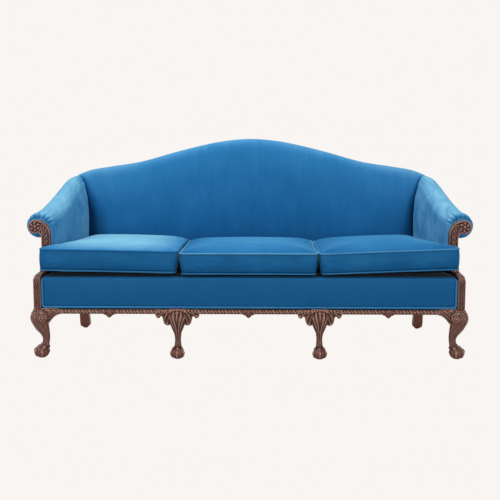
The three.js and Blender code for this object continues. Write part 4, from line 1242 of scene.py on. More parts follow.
class SOFA_OT_back(bpy.types.Operator):
    """Inside back with its rolled crest, outside back and the welt between them"""

    bl_idname = "sofa.back"
    bl_label = "Back"

    def execute(self, context):
        dense = np.sin(np.linspace(-np.pi / 2, np.pi / 2, BACK_COLUMNS))
        places = mix(np.linspace(-1, 1, BACK_COLUMNS), dense, BACK_COLUMN_EASE)
        rings = [self.ring(share * BACK_HALF_WIDTH) for share in places]
        back = new_piece("inside_back", *closed_loft([self.cap(rings[0]), *rings, self.cap(rings[-1])]))
        face_outward(back)
        self.brush(back)
        finish(back, "velvet", ["back_pad"])
        self.outside()
        self.outside_welt()
        return {"FINISHED"}

    def ring(self, x):
        """A closed section of the inside back."""
        skin = back_section(x)
        from_end = BACK_HALF_WIDTH - abs(x)
        end = max(0.0, 1 - from_end / BACK_END) ** 2
        depth = skin[:, 0] + BACK_END_ROUND * end * (skin[:, 0] < BACK_FACE_DEPTH)
        height = skin[:, 1] - BACK_END_DROP * end * (skin[:, 1] > crest(x) - BACK_SHOULDER)
        top = float(crest(x)) - TOP_WRAP
        far = BACK_REAR if from_end < BACK_END_WALL else BACK_PAD_THICK
        inner = [(BACK_REAR, top - 14), (BACK_REAR - 0.5, top - 15), (far, top - 16),
                 (far, mix(PAD_BOTTOM, top, 0.5)), (far, PAD_BOTTOM)]
        return [(x, behind(d, z), z) for d, z in [*zip(depth, height), *inner]]

    def cap(self, ring):
        """The ring that closes an end, drawn in toward the middle of the roll."""
        ring = np.array(ring)
        level = crest(BACK_HALF_WIDTH) - ROLL_DEPTH / 2
        high = np.clip((ring[:, 2] - level) / 10, 0, 1)
        ring[:, 1] += BACK_CAP_INSET * (behind(BACK_PAD_THICK / 2, ring[:, 2]) - ring[:, 1])
        ring[:, 2] += BACK_CAP_INSET * (level - ring[:, 2]) * high
        return ring

    def brush(self, back):
        """Painted light near the crest and on its upper ends, and painted shade low down and beside the arms.
        """
        x, _, z = source_places(back).T
        across = np.abs(x)
        height = np.interp(crest(x) - z, BACK_PAINTED_LIGHT_DEPTHS, BACK_PAINTED_LIGHT)
        # Painted light on the upper parts toward the ends.
        height += 0.06 * np.clip((across - 480) / 260, 0, 1) * np.clip((z - 640) / 80, 0, 1)
        crease = np.interp(z, CREASE_HEIGHTS, CREASE_PLACES)
        wide = np.interp(z, CREASE_SHADE_HEIGHTS, CREASE_SHADE_WIDTHS) * np.where(x < 0, 1, 0.6)
        # Painted shade beside each arm's crease, wider on the left.
        beside = edge_fall(crease - across, wide) ** 1.5
        set_nap_and_painted_light(back, height + BESIDE_ARM_PAINTED_SHADE * beside * np.clip((800 - z) / 30, 0, 1))

    def outside(self):
        half = BACK_HALF_WIDTH - GAP
        x, up = lattice(lines((-half, half, 150)), lines((0, 1, 60)))
        high = crest(x) - TOP_WRAP + SIDE_SKIN
        z = mix(PANEL_BOTTOM, high, up)
        edge = np.minimum.reduce([half - np.abs(x), z - PANEL_BOTTOM, high - z])
        rise = pillow(edge, 4.5, 9, 2.5, 160, 0.6)
        panel = slab_piece("outside_back_cover", all_cells(x),
                           np.stack([x, behind(BACK_THICK - 0.4 + rise, z), z], axis=-1),
                           np.stack([x, behind(OUTSIDE_BACK_NEAR + 0.3, z), z], axis=-1))
        set_nap_and_painted_light(panel)
        finish(panel, "velvet", ["outside_back"])

    def outside_welt(self):
        half = BACK_HALF_WIDTH - GAP
        places = np.linspace(-half + 3, half - 3, 180)
        tops = [float(crest(x)) - TOP_WRAP + OUTSIDE_WELT_RISE for x in places]
        over = [(x, behind(BACK_THICK - 4.5, z), z) for x, z in zip(places, tops)]
        heights = np.linspace(PANEL_BOTTOM + OUTSIDE_WELT_RISE, tops[0] - OUTSIDE_WELT_RISE, 60)
        left, right = ([(x, behind(BACK_THICK - 3.5, z), z) for z in rows]
                       for x, rows in ((1 - half, heights), (half - 1, heights[::-1])))
        welt = welts("outside_back_welt", [left + over + right], OUTSIDE_WELT, step=7)
        set_nap_and_painted_light(welt)
        finish(welt, "velvet_welt")


# Arms

ARM_LENGTH = SEAT_DEPTH - ARM_FRONT
ARM_LEAN = np.array([[480, 0], [597, 4], [683, 14], [739, 30], [772, 31], [788, 22], [799, 4]], float)
ARM_EDGE = 12
ARM_FIRST_SECTIONS = [0, 0.4, 1.2, 2.4, 4, 6, 8.5, 12]
ARM_NEXT_SECTION = 17
ARC_STEPS = 72
WALL_STEPS = 26
LEAN_ANGLE = 1.3
LEAN_ANGLE_WIDTH = 0.7
ARM_REAR_EDGE = 10
ARM_REAR_DROP = 1.5
ARM_FRONT_SINK = 8
HIDDEN_INSET = 34
HIDDEN_DROP = 5
PLEAT_ANGLES = (0.55, 1.08, 1.6, 2.12, 2.5, 2.86)
PLEAT_WIDTH = 0.075
PLEAT_REACH = 26
ROLL_SWELL = 7
ROLL_SWELL_PLACE = 34
CREST_PLACES = np.linspace(0, 960, 241)
CREST_LINE = crest(CREST_PLACES)
CREST_DOWN = [0.02, 0.1, 0.5]
CREST_DEEP = [0.28, 0.09, 0]
SHOULDER_SKIN = back_section(BACK_HALF_WIDTH)[-24:]
SHOULDER_DIP = 0.5
SHOULDER_WIDTH = 46
SHOULDER_ROUND = 0.97
SHOULDER_REACH = 30
SHOULDER_DEPTHS = (-16, 0.8, 6, 12, 20, 30, 42, 54, 66, 76, 84, 88, 91, 94, 96, BACK_THICK - 2)
SHOULDER_EDGE = 9
SHOULDER_EDGE_START = 86
SHOULDER_EDGE_WIDTH = 12
SHOULDER_FRONT = 16
SHOULDER_FRONT_DROP = 2.5
SHOULDER_SAMPLES = 44
SHOULDER_WALL_STEPS = 12
OUTSIDE_STEP_SHARE = 0.36
CORD_RADIUS = 2.1
CORD_OUTSET = 1.6


def arm_section(share):
    """The arm roll's section at a share of the way from its front to the back's face."""
    reference = mix(ARM_FRONT, SEAT_DEPTH, share)
    radius = mix(ROLL_FRONT_RADIUS, ROLL_BACK_RADIUS, share)
    inner = inner_face(reference)
    height = mix(ROLL_FRONT_HEIGHT, ROLL_BACK_HEIGHT, float(through(ARM_RISE_SHARES, share)))
    turn = math.acos((outer_face(reference) - inner - radius) / radius)
    return {"reference": reference, "inner": inner, "centre": (inner + radius, height), "radius": radius,
            "turn": turn, "neck": height - radius * math.sin(turn)}


def arm_lean(share, z):
    """How far the inside arm's upper part leans outward toward the back."""
    raised = z + ROLL_BACK_HEIGHT - arm_section(share)["centre"][1]
    return float(np.interp(raised, *ARM_LEAN.T)) * np.clip((share - 0.3) / 0.7, 0, 1) ** 1.3


def crest_front(x, z):
    """How far behind the back's face its rolled crest lies at a place."""
    under = np.interp(abs(x), CREST_PLACES, CREST_LINE) - z
    return BACK_REAR * float(np.interp(under / ROLL_DEPTH, CREST_DOWN, CREST_DEEP))


def arm_depth(share, z, x=None):
    """Depth of the arm at a share of its length, which follows the back's lean, or its crest at x."""
    past = crest_front(x, z) if x else 0.0
    return mix(ARM_FRONT + GAP, behind(past - GAP, z), share)


def crest_skin(distance):
    """Height of the back's skin at its end, a given distance behind its face."""
    return float(np.interp(max(distance, BACK_REAR / 2), *SHOULDER_SKIN.T))


def flattened(x, z, distance):
    """Height of a point of the arm's roll, lowered near the back to meet the end of the crest."""
    above = z - ROLL_BACK_HEIGHT
    if above < 0 or distance < -SHOULDER_REACH:
        return z
    near = clamp01(1 + distance / SHOULDER_REACH) ** 2
    wanted = (crest_skin(distance) - SHOULDER_DIP - ROLL_BACK_HEIGHT) / ROLL_BACK_RADIUS
    out = clamp01((x - BACK_HALF_WIDTH) / SHOULDER_WIDTH)
    return ROLL_BACK_HEIGHT + above * mix(1.0, mix(wanted, max(wanted, SHOULDER_ROUND), out), near)


def pleat_shape(angle):
    """Narrow valleys between soft gathers round the front of the roll."""
    return sum(np.exp(-((angle - place) / PLEAT_WIDTH) ** 2) for place in PLEAT_ANGLES)


def arm_arc(share, shrink, pleat, past=0.0, loose=1.0):
    """The roll from its inner side over the top; past is how far it goes beyond the back's face, and
    loose is how much of its pleats and swell shows."""
    s = arm_section(share)
    along = share * ARM_LENGTH
    distance = past if past > 0 else along - ARM_LENGTH
    points = []
    for i in range(ARC_STEPS + 1):
        t = i / ARC_STEPS
        angle = mix(math.pi, -s["turn"], t)
        fold = pleat * pleat_shape(angle) * math.exp(-along / PLEAT_REACH)
        swell = ROLL_SWELL * math.exp(-((along - ROLL_SWELL_PLACE) / ROLL_SWELL_PLACE) ** 2)
        swell *= max(0.0, math.cos(angle)) ** 0.8
        radius = s["radius"] - shrink + (swell - fold) * loose
        x = s["centre"][0] + radius * math.cos(angle)
        z = flattened(x, s["centre"][1] + radius * math.sin(angle), distance)
        depth = arm_depth(share, z) + past
        lean = arm_lean(share, z) * clamp01((angle - LEAN_ANGLE) / LEAN_ANGLE_WIDTH)
        slope = mix(INNER_SLOPE, SIDE_SLOPE, t)
        points.append((x - slope * (depth - s["reference"]) + lean, max(arm_depth(share, z, x), depth), z))
    return points


def arm_ring(share, shrink, pleat, loose=1.0):
    """A closed section of the arm: its inner side, the roll and the hidden side under it."""
    s = arm_section(share)
    height = s["centre"][1]
    wall = []
    for i in range(WALL_STEPS, 0, -1):
        z = mix(height, PAD_BOTTOM, i / WALL_STEPS)
        y = arm_depth(share, z)
        wall.append((s["inner"] + shrink + arm_lean(share, z) - INNER_SLOPE * (y - s["reference"]), y, z))
    under = []
    for inset, z in ((SIDE_SKIN + GAP, s["neck"] + shrink), (SIDE_SKIN + GAP, height - HIDDEN_DROP),
                     (HIDDEN_INSET, height - HIDDEN_DROP), (HIDDEN_INSET, PAD_BOTTOM)):
        y = arm_depth(share, z)
        under.append((outer_face(y) - inset, y, z))
    return wall + arm_arc(share, shrink, pleat, loose=loose) + under


def shoulder_ring(arc):
    """Half round section of the arm's end beside the back, closed along the back's end."""
    wall = BACK_HALF_WIDTH + GAP
    arc = np.array(arc)
    first = int(np.nonzero(arc[:, 0] <= wall)[0].max())
    share = (wall - arc[first, 0]) / (arc[first + 1, 0] - arc[first, 0])
    arc = np.vstack([mix(arc[first], arc[first + 1], share), arc[first + 1:]])
    along = np.concatenate([[0], np.cumsum(np.linalg.norm(np.diff(arc, axis=0), axis=1))])
    wanted = np.linspace(0, along[-1], SHOULDER_SAMPLES)
    skin = np.stack([np.interp(wanted, along, arc[:, axis]) for axis in range(3)], axis=1)
    low = np.array([wall, skin[-1, 1], skin[-1, 2]])
    rise = np.linspace(0, 1, SHOULDER_WALL_STEPS + 1)[:-1, None]
    return np.vstack([skin, low + rise * (skin[0] - low)])


class SOFA_OT_arms(bpy.types.Operator):
    """Inside arms with their rolls and pleats, outside arms and the cord round each scroll"""

    bl_idname = "sofa.arms"
    bl_label = "Arms"

    def execute(self, context):
        right = self.inside(context.scene.sofa_sizes.pleat / MM)
        left = mirrored(right, "inside_arm_left")
        skin = self.outside()
        other = mirrored(skin, "outside_arm_cover_left")
        for side, pad, cover in (("right", right, skin), ("left", left, other)):
            finish(pad, "velvet_arm", [f"arm_pad_{side}"])
            finish(cover, "velvet", [f"outside_arm_{side}"])
            self.scroll_cord(side)
        return {"FINISHED"}

    def scroll_cord(self, side):
        """Thin cord that covers the tacks where the cloth meets the scroll board."""
        line = [(SIDES[side] * x, ARM_FRONT - 3, z) for x, z in scroll_outline(-CORD_OUTSET)[1:]]
        cord = welts(f"scroll_cord_{side}", [line], CORD_RADIUS, step=4)
        set_nap_and_painted_light(cord)
        finish(cord, "velvet_welt")

    def inside(self, pleat):
        """The inside arm with its roll, and the shoulder behind the back's face as a form of its own."""
        shares = [along / ARM_LENGTH for along in ARM_FIRST_SECTIONS]
        shares += list(np.linspace(ARM_NEXT_SECTION / ARM_LENGTH, 1, 70))
        rings = [arm_ring(0, ARM_EDGE + ARM_FRONT_SINK, pleat, 0.0)]
        for share in shares:
            along = share * ARM_LENGTH
            deep = max(0.0, ARM_EDGE - along)
            shrink = ARM_EDGE - math.sqrt(ARM_EDGE ** 2 - deep ** 2)
            rear = max(0.0, 1 - (ARM_LENGTH - along) / ARM_REAR_EDGE)
            rings.append(arm_ring(share, shrink + ARM_REAR_DROP * rear ** 2, pleat))
        points, faces = closed_loft(rings)
        ends = []
        for past in SHOULDER_DEPTHS:
            shrink = SHOULDER_EDGE * clamp01((past - SHOULDER_EDGE_START) / SHOULDER_EDGE_WIDTH) ** 2
            shrink += SHOULDER_FRONT_DROP * clamp01(-past / SHOULDER_FRONT)
            ends.append(shoulder_ring(arm_arc(1, shrink, pleat, past)))
        more, more_faces = closed_loft(ends)
        faces += [[len(points) + k for k in face] for face in more_faces]
        pad = new_piece("inside_arm_right", np.concatenate([points, more]), faces)
        face_outward(pad)
        self.brush(pad)
        return pad

    def brush(self, pad):
        """Painted light on the upward-facing top, less behind the back's face, a little lighter low down,
        darker along the front edge, and painted shade in the pleats' valleys.
        """
        x, y, z = source_places(pad).T
        up = np.clip(coordinates(pad.data, "normal")[:, 2], 0, 1)
        low = np.clip((720 - z) / 240, 0, 1)
        end = edge_fall(y - ARM_FRONT, 30)
        centre_x, centre_z = arm_section(0)["centre"]
        angle = np.arctan2(z - centre_z, x - centre_x)
        pleats = pleat_shape(angle) * np.exp(-np.maximum(y - ARM_FRONT, 0) / PLEAT_REACH)
        beyond = np.clip((y - SEAT_DEPTH - 10) / 60, 0, 1)
        set_nap_and_painted_light(pad, (0.24 - 0.1 * beyond) * up + 0.05 * low - 0.04 * end - 0.32 * pleats)

    def outside(self):
        """Cloth on the outside of the arm and of the frame under it, lower in front of the arm."""
        shares = np.linspace(0, 1, 50)
        necks = np.array([arm_section(share)["neck"] - GAP for share in shares])
        depths = np.array([arm_depth(share, neck) for share, neck in zip(shares, necks)])
        low, step = PANEL_BOTTOM, SEAT_FRAME_TOP + GAP
        first, start = BLOCK_BACK + GAP, ARM_FRONT + GAP
        last = behind(BACK_THICK - 0.5, necks[-1])
        split = OUTSIDE_STEP_SHARE
        y, up = lattice(lines((first, start, 8), (start, last, 64)), lines((0, split, 18), (split, 1, 34)))
        top = np.where(y < start - 0.01, step, np.interp(y, depths, necks))
        z = np.where(up <= split, mix(low, step, np.minimum(up / split, 1)),
                     mix(step, top, (up - split) / (1 - split)))
        y = y + (behind(BACK_THICK - 0.5, z) - last) * np.clip((y - start) / (last - start), 0, 1)
        cells = all_cells(y)
        cells[:8, 18:] = False
        edge = np.minimum.reduce([y - first, z - low, behind(BACK_THICK, z) - y, top - z])
        rise = pillow(edge, 3.5, 8, 2.5, 120, 0.7)
        skin = slab_piece("outside_arm_cover_right", cells,
                          np.stack([outer_face(y) - 0.3 + rise, y, z], axis=-1),
                          np.stack([outer_face(y) - SIDE_SKIN, y, z], axis=-1))
        set_nap_and_painted_light(skin)
        return skin


# Cushions

CUSHION_CELL = 11.0
CUSHION_CORNER = 26
EAR_CORNER = 18
EAR_MARGIN = 6
EAR_COLUMNS = 3
EAR_ROWS = 9
RIM_ROWS = 7
RIM_BULGE = 3.5
BOXING_SHARE = 0.3
SEAM_DRAW = 10
EDGE_DRAW = 3.5
SEAM_DRAW_WIDTH = 60
CROWN_WIDTH = 130
SOLE_WIDTH = 60
SOLE_INSET = 14
SOLE_FADE = 40
SEAM_CLEARANCE = 0.6
REST_CLEARANCE = 0.3
SIDE_CLEARANCE = 1.0
POST_CLEARANCE = 1.2
CUSHION_STEPS = 20
CUSHION_CLOTH = {
    "use_pressure": True, "uniform_pressure_force": 4.0, "vertex_group_mass": "held", "quality": 6,
    "mass": 0.4, "tension_stiffness": 18, "compression_stiffness": 18, "shear_stiffness": 6,
    "bending_stiffness": 0.6,
}

# Lower welt, upper welt at the inner end, slope toward the arm, the crown's painted light with the left
# cushion's brushed pile, and the upper welt's painted shade
CUSHIONS = {
    "left": (386.6, 477.5, 0.0172, 0.56, -0.35),
    "centre": (380.6, 470.2, 0.0, 0.17, 0.0),
    "right": (380.0, 468.5, 0.0400, 0.11, -0.1),
}
LOWER_WELT_PAINTED_SHADE = -0.22


def rounded_corner(points, corner, inward, radius):
    """Presses the lattice's square corner into a round one."""
    centre = np.asarray(corner) + np.asarray(inward) * radius
    away = points - centre
    facing = away * -np.asarray(inward)
    longest = facing.max(axis=1)
    inside = (facing[:, 0] > 0) & (facing[:, 1] > 0) & (longest <= radius + 1e-6)
    length = np.linalg.norm(away, axis=1) + 1e-9
    scale = np.where(inside, longest / length, 1)
    return centre + away * scale[:, None]


def cushion_lattice(side):
    """A cushion's lattice in plan: x, y, the filled squares and the two ends across."""
    depth_steps = int((CUSHION_BACK - CUSHION_FRONT) / CUSHION_CELL)
    if side == 0:
        half = CUSHION_SPLIT - CUSHION_GAP
        x, y = lattice(lines((-half, half, int(2 * half / CUSHION_CELL))),
                       lines((CUSHION_FRONT, CUSHION_BACK, depth_steps)))
        return x, y, all_cells(x), -half, half
    start = CUSHION_SPLIT + CUSHION_GAP
    main = inner_face(ARM_FRONT) - CUSHION_SIDE_GAP
    x, y = lattice(lines((start, main, 52), (main, CUSHION_OUTER, EAR_COLUMNS)),
                   lines((CUSHION_FRONT, EAR_BACK, EAR_ROWS),
                         (EAR_BACK, CUSHION_BACK, depth_steps - EAR_ROWS)))
    cells = all_cells(x)
    cells[-EAR_COLUMNS:, EAR_ROWS:] = False
    edge = inner_face(np.maximum(y, ARM_FRONT)) - CUSHION_SIDE_GAP
    share = np.clip((x - start) / (main - start), 0, 1)
    behind_ear = (x <= main + 0.01) & (y > EAR_BACK - 0.01)
    return np.where(behind_ear, start + share * (edge - start), x), y, cells, start, CUSHION_OUTER


def cushion_form(name, side, crown, welt_low, welt_high):
    """A cushion's closed form on a lattice, with its edge loops from the upper to the lower welt."""
    x, y, cells, left, right = cushion_lattice(side)
    shape = x.shape
    flat = np.stack([x.ravel(), y.ravel()], axis=1)
    far = inner_face(CUSHION_BACK) - CUSHION_SIDE_GAP if side else right
    corners = [((left, CUSHION_FRONT), (1, 1), CUSHION_CORNER),
               ((left, CUSHION_BACK), (1, -1), CUSHION_CORNER),
               ((right, CUSHION_FRONT), (-1, 1), CUSHION_CORNER),
               ((far, CUSHION_BACK), (-1, -1), CUSHION_CORNER)]
    if side:
        corners.append(((CUSHION_OUTER, EAR_BACK), (-1, -1), EAR_CORNER))
    for corner in corners:
        flat = rounded_corner(flat, *corner)
    left = flat[:, 0].min()
    u = np.clip((flat[:, 0] - left) / (right - left), 0, 1)
    v = np.clip((flat[:, 1] - CUSHION_FRONT) / (CUSHION_BACK - CUSHION_FRONT), 0, 1)
    flat[:, 1] += EDGE_DRAW * np.sin(np.pi * u) * (1 - v) ** 3
    flat[:, 0] += EDGE_DRAW * np.sin(np.pi * v) * ((1 - u) ** 3 - (0 if side else u ** 3))
    x, y = flat.T.reshape(2, *shape)
    level = np.stack([x, y, 0 * x], axis=-1)
    _, _, loops = slab(cells, level, level)
    border = level[used_points(cells)][loops[0], :2]
    away = np.linalg.norm(flat[:, None, :] - border[None], axis=2).min(axis=1).reshape(shape)
    rise = 1 - edge_fall(away, CROWN_WIDTH) ** 2.8
    resting = np.clip((inner_face(ARM_FRONT) - SOLE_INSET - x) / SOLE_FADE, 0, 1) if side else 1.0
    fall = (1 - edge_fall(away, SOLE_WIDTH) ** 2.0) * resting
    top = np.stack([x, y, welt_high + crown * rise], axis=-1)
    bottom = np.stack([x, y, welt_low - (welt_low - CUSHION_REST) * fall], axis=-1)

    def rim_row(share):
        bulge = RIM_BULGE * math.sin(math.pi * share) ** 0.8
        return lambda low, high, outward: mix(low, high, share) + outward * bulge

    rim = [rim_row(share) for share in np.linspace(1, 0, RIM_ROWS + 2)[1:-1]]
    points, faces, loops = slab(cells, top, bottom, rim)
    low_share = np.clip((welt_high - points[:, 2]) / (welt_high - welt_low), 0, 1)
    near_seam = edge_fall(points[:, 0] - left, SEAM_DRAW_WIDTH)
    if side == 0:
        near_seam = near_seam - edge_fall(right - points[:, 0], SEAM_DRAW_WIDTH)
    points[:, 0] += SEAM_DRAW * low_share * near_seam
    return new_piece(name, points, faces), loops


def fill_cushion(piece, pinned, cap):
    """Blows the cushion up as cloth, its welt loops held, and keeps each point within its cap."""
    before = coordinates(piece.data)
    group = piece.vertex_groups.new(name="held")
    group.add([int(k) for k in pinned], 1.0, "REPLACE")
    cloth = piece.modifiers.new("Cloth", "CLOTH")
    for key, value in CUSHION_CLOTH.items():
        setattr(cloth.settings, key, value)
    cloth.settings.effector_weights.gravity = 0
    cloth.collision_settings.use_collision = False
    cloth.point_cache.frame_start = 1
    cloth.point_cache.frame_end = CUSHION_STEPS
    scene = bpy.context.scene
    for step in range(CUSHION_STEPS):
        scene.frame_set(step + 1)
    graph = bpy.context.evaluated_depsgraph_get()
    after = coordinates(piece.evaluated_get(graph).to_mesh())
    piece.modifiers.clear()
    piece.vertex_groups.clear()
    scene.frame_set(1)
    move = after - before
    length = np.linalg.norm(move, axis=1, keepdims=True)
    move *= np.minimum(1, np.reshape(cap, (-1, 1)) / np.maximum(length, 1e-9))
    set_coordinates(piece.data, before + move)


class SOFA_OT_cushions(bpy.types.Operator):
    """Three filled seat cushions with their welts"""

    bl_idname = "sofa.cushions"
    bl_label = "Cushions"

    def execute(self, context):
        for name, values in CUSHIONS.items():
            self.make(name, context.scene.sofa_sizes, *values)
        return {"FINISHED"}

    def brush(self, piece, strength):
        """Painted light on the upward-facing crown, scaled by a strength that also lightens the left
        cushion's brushed pile, and painted shade beside the welts and underneath.
        """
        place = source_places(piece)
        up = coordinates(piece.data, "normal")[:, 2]
        low, high = place.min(axis=0), place.max(axis=0)
        across, deep = (2 * np.abs(place - (low + high) / 2) / (high - low)).T[:2]
        middle = np.sin(np.pi / 2 * np.clip((1 - across) / 0.6, 0, 1))
        middle *= np.sin(np.pi / 2 * np.clip((1 - deep) / 0.45, 0, 1))
        lit = strength * (0.45 + 0.55 * middle) - 0.1 * (1 - middle)
        set_nap_and_painted_light(piece, lit * np.clip((up - 0.3) / 0.7, 0, 1) - 0.3 * np.clip(-3 * up, 0, 1))

    def fitted(self, source, side, slope):
        """Keeps a right-hand or middle cushion's points clear of the deck, the back and the arm."""
        x, y, z = source.T
        if side:
            z = z + slope * (x - CUSHION_SPLIT - CUSHION_GAP)
        z = np.maximum(z, CUSHION_REST + REST_CLEARANCE)
        y = np.minimum(y, behind(-SIDE_CLEARANCE, z))
        if side:
            x = np.where(y > EAR_BACK + EAR_MARGIN, np.minimum(x, inner_face(y) - SIDE_CLEARANCE), x)
            x = np.maximum(x, CUSHION_SPLIT + SEAM_CLEARANCE)
            ear = x > inner_face(ARM_FRONT) - EAR_MARGIN
            y = np.where(ear, np.minimum(y, ARM_FRONT - FACING_THICK - POST_CLEARANCE), y)
        else:
            x = np.clip(x, SEAM_CLEARANCE - CUSHION_SPLIT, CUSHION_SPLIT - SEAM_CLEARANCE)
        return np.stack([x, y, z], axis=1)

    def make(self, name, sizes, low, high, slope, strength, upper_welt_painted_shade):
        side = SIDES.get(name, 0)
        piece, rows = cushion_form(f"seat_cushion_{name}", side, sizes.crown / MM, low, high)
        cap = np.full(len(piece.data.vertices), sizes.cushion_swell)
        cap[np.concatenate(rows[1:-1])] *= BOXING_SHARE
        cap[coordinates(piece.data, "normal")[:, 2] < -0.5] = sizes.cushion_swell * BOXING_SHARE
        fill_cushion(piece, np.concatenate([rows[0], rows[-1]]), cap)
        source = self.fitted(source_places(piece), side, slope)
        if side < 0:
            source[:, 0] *= -1
        loops = [source[rows[0]], source[rows[-1]]]
        set_coordinates(piece.data, to_frame(source))
        face_outward(piece)
        settle(piece, "SUBSURF", levels=1, render_levels=1)
        self.brush(piece, strength)
        body = f"cushion_{name}"
        finish(piece, "velvet_cushion", [body], body)
        welt = welts(f"seat_cushion_{name}_welts", loops, sizes.welt / MM, step=4, closed=True)
        upper = coordinates(welt.data)[:, 2] / MM > (low + high) / 2
        # Painted shade on the welts: the upper one's from the table, the lower one's the same everywhere.
        set_nap_and_painted_light(welt, np.where(upper, upper_welt_painted_shade, LOWER_WELT_PAINTED_SHADE))
        finish(welt, "velvet_welt", body=body)


# Carved legs, brackets, blocks, arm posts, moulding and pendants

LEG_VOXEL = 1.35
BRACKET_VOXEL = 1.2
BLOCK_VOXEL = 1.0
POST_VOXEL = 1.15
PENDANT_VOXEL = 0.9
SLOPE_STEP = 1.5
SLOPE_LIMIT = 1.5
SQUARENESS = 0.75
CABRIOLE_SHARES = np.array([
    [0, 0.3, 1.15, 0.42], [0.06, 0.3, 1.15, 0.74], [0.127, 0.31, 1.15, 0.85], [0.2, 0.48, 1, 0.7],
    [0.27, 0.81, 0.6, 0.43], [0.35, 1, 0.35, 0.366], [0.452, 0.92, 0.4, 0.445], [0.593, 0.46, 0.7, 0.69],
    [0.738, 0.12, 1, 0.865], [0.842, 0.12, 1, 1], [0.932, 0.04, 0.55, 0.852], [1, 0, 0, 0.6],
])
MIDDLE_WIDTH_SHARES = np.array([0.45, 0.82, 0.97, 0.8, 0.45, 0.4, 0.45, 0.62, 0.88, 1, 0.95, 0.8])
ANKLE = 84
FOOT_CENTRE = 26.0
FOOT_SQUASH = 0.86
TALON_TURNS = (0, 1.05, -1.05, math.pi)
TALON_PATH = [(0.3, 2.25), (0.44, 1.98), (0.72, 1.72), (0.93, 1.36), (1.0, 0.98), (0.93, 0.6), (0.76, 0.33)]
TALON_SIZES = np.array([0.16, 0.2, 0.27, 0.16, 0.25, 0.16, 0.08])
MOULDING_NEAR = MOULDING_FRONT - GAP
BRACKET_FACE = -11.0
BRACKET_BACK = 9
SIDE_BRACKET_INNER = 920.5
SIDE_BRACKET_FACE = 941.0
SIDE_BRACKET_START = 38
LEG_CARVED_FROM = 60
CORNER_BALL = 32.5
CORNER_STUB = (886, 921, -6, 30)
CORNER_STUB_LOW = 200
KNEE_PLACE = 911
KNEE_DEPTH = 18
MIDDLE_BALL = 30.5
MIDDLE_STUB_HALF = 30.5
MIDDLE_STUB_DEPTHS = (-14, 43)
MIDDLE_STUB_LOW = 196


class Cabriole:
    """The plain skin of a cabriole leg, before it is carved."""

    def __init__(self, axis, lean, push, half, widths):
        z = CABRIOLE_SHARES[:, 0] * LEG_HEIGHT
        x = axis[0] - lean * CABRIOLE_SHARES[:, 1]
        y = axis[1] - push * CABRIOLE_SHARES[:, 2]
        self.rows = [np.stack([z, values], axis=1) for values in (x, y, half * widths)]

    def at(self, height):
        height = np.clip(height, 0, LEG_HEIGHT)
        return tuple(through(row, height, level=False) for row in self.rows)

    def rings(self, low, high, count=80, around=48):
        height = np.linspace(low, high, count)[:, None]
        angle = np.linspace(0, 2 * np.pi, around, endpoint=False)[None, :]
        x, y, half = self.at(height)
        across, deep = (np.sign(way) * np.abs(way) ** SQUARENESS for way in (np.cos(angle), np.sin(angle)))
        return np.stack([x + half * across, y + half * deep, height + 0 * angle], axis=-1)

    def front(self, x, z):
        """Depth of the leg's front at a place in the front view."""
        cx, cy, half = self.at(z)
        return cy - self.bulge(x - cx, half)

    def side(self, y, z):
        """Reach of the leg's outer side at a place in the side view."""
        cx, cy, half = self.at(z)
        return cx + self.bulge(y - cy, half)

    def bulge(self, away, half):
        share = np.clip(np.abs(away) / half, 0, 1) ** (1 / SQUARENESS)
        return half * np.sqrt(1 - share ** 2) ** SQUARENESS


def carved_surface(reach, axis, outward):
    """Points and normals of a surface that faces outward along an axis, from its two other places."""
    step = SLOPE_STEP

    def surface(a, z):
        slopes = [(reach(a + step, z) - reach(a - step, z)) / (2 * step),
                  (reach(a, z + step) - reach(a, z - step)) / (2 * step)]
        normals = [-outward * np.clip(slope, -SLOPE_LIMIT, SLOPE_LIMIT) for slope in slopes]
        normals.insert(axis, np.full_like(a, outward))
        normals = np.stack(normals, axis=1)
        places = [a, z]
        places.insert(axis, reach(a, z))
        return np.stack(places, axis=1), normals / np.linalg.norm(normals, axis=1, keepdims=True)

    return surface


def level_at(value):
    return lambda a, z: np.full_like(a, value)


class Relief:
    """Veins, volutes and buds laid on a surface of two flat coordinates."""

    def __init__(self, carving, reach, axis=1):
        self.carving = carving
        self.surface = carved_surface(reach, axis, 1 - 2 * axis)

    def vein(self, path, radii, lift=0.0, flat=0.75, samples=22):
        if len(path) > 2:
            line = smooth_path(path, samples)
        else:
            start, end = np.array(path, float)
            line = mix(start, end, np.linspace(0, 1, samples)[:, None])
        points, normals = self.surface(line[:, 0], line[:, 1])
        self.carving.rod(points + normals * lift, radii, normals, flat, 8, samples)

    def veins(self, put, rows):
        """Veins from rows of (path, radii, lift, flat, samples), the last three as far as they differ."""
        for path, *values in rows:
            self.vein([put(*place) for place in path], *values)

    def volute(self, centre, radius, turns, start, radii, way, eye):
        t = np.linspace(0, 1, int(26 * turns))
        reach = radius * (1 - (1 - eye * 0.6) * t ** 0.85)
        angle = start + way * turns * 2 * np.pi * t
        points, normals = self.surface(centre[0] + reach * np.cos(angle), centre[1] + reach * np.sin(angle))
        self.carving.rod(points, radii, normals, 0.9, 8, len(t))
        self.bud(centre, radius * eye, 0.8)

    def bud(self, centre, radius, flat):
        points, _ = self.surface(np.array([centre[0]]), np.array([centre[1]]))
        self.carving.ball(points[0], radius, (1, 1, flat), 8, 12)


def rectangle(x0, x1, y0, y1):
    return [(x0, y0), (x1, y0), (x1, y1), (x0, y1)]


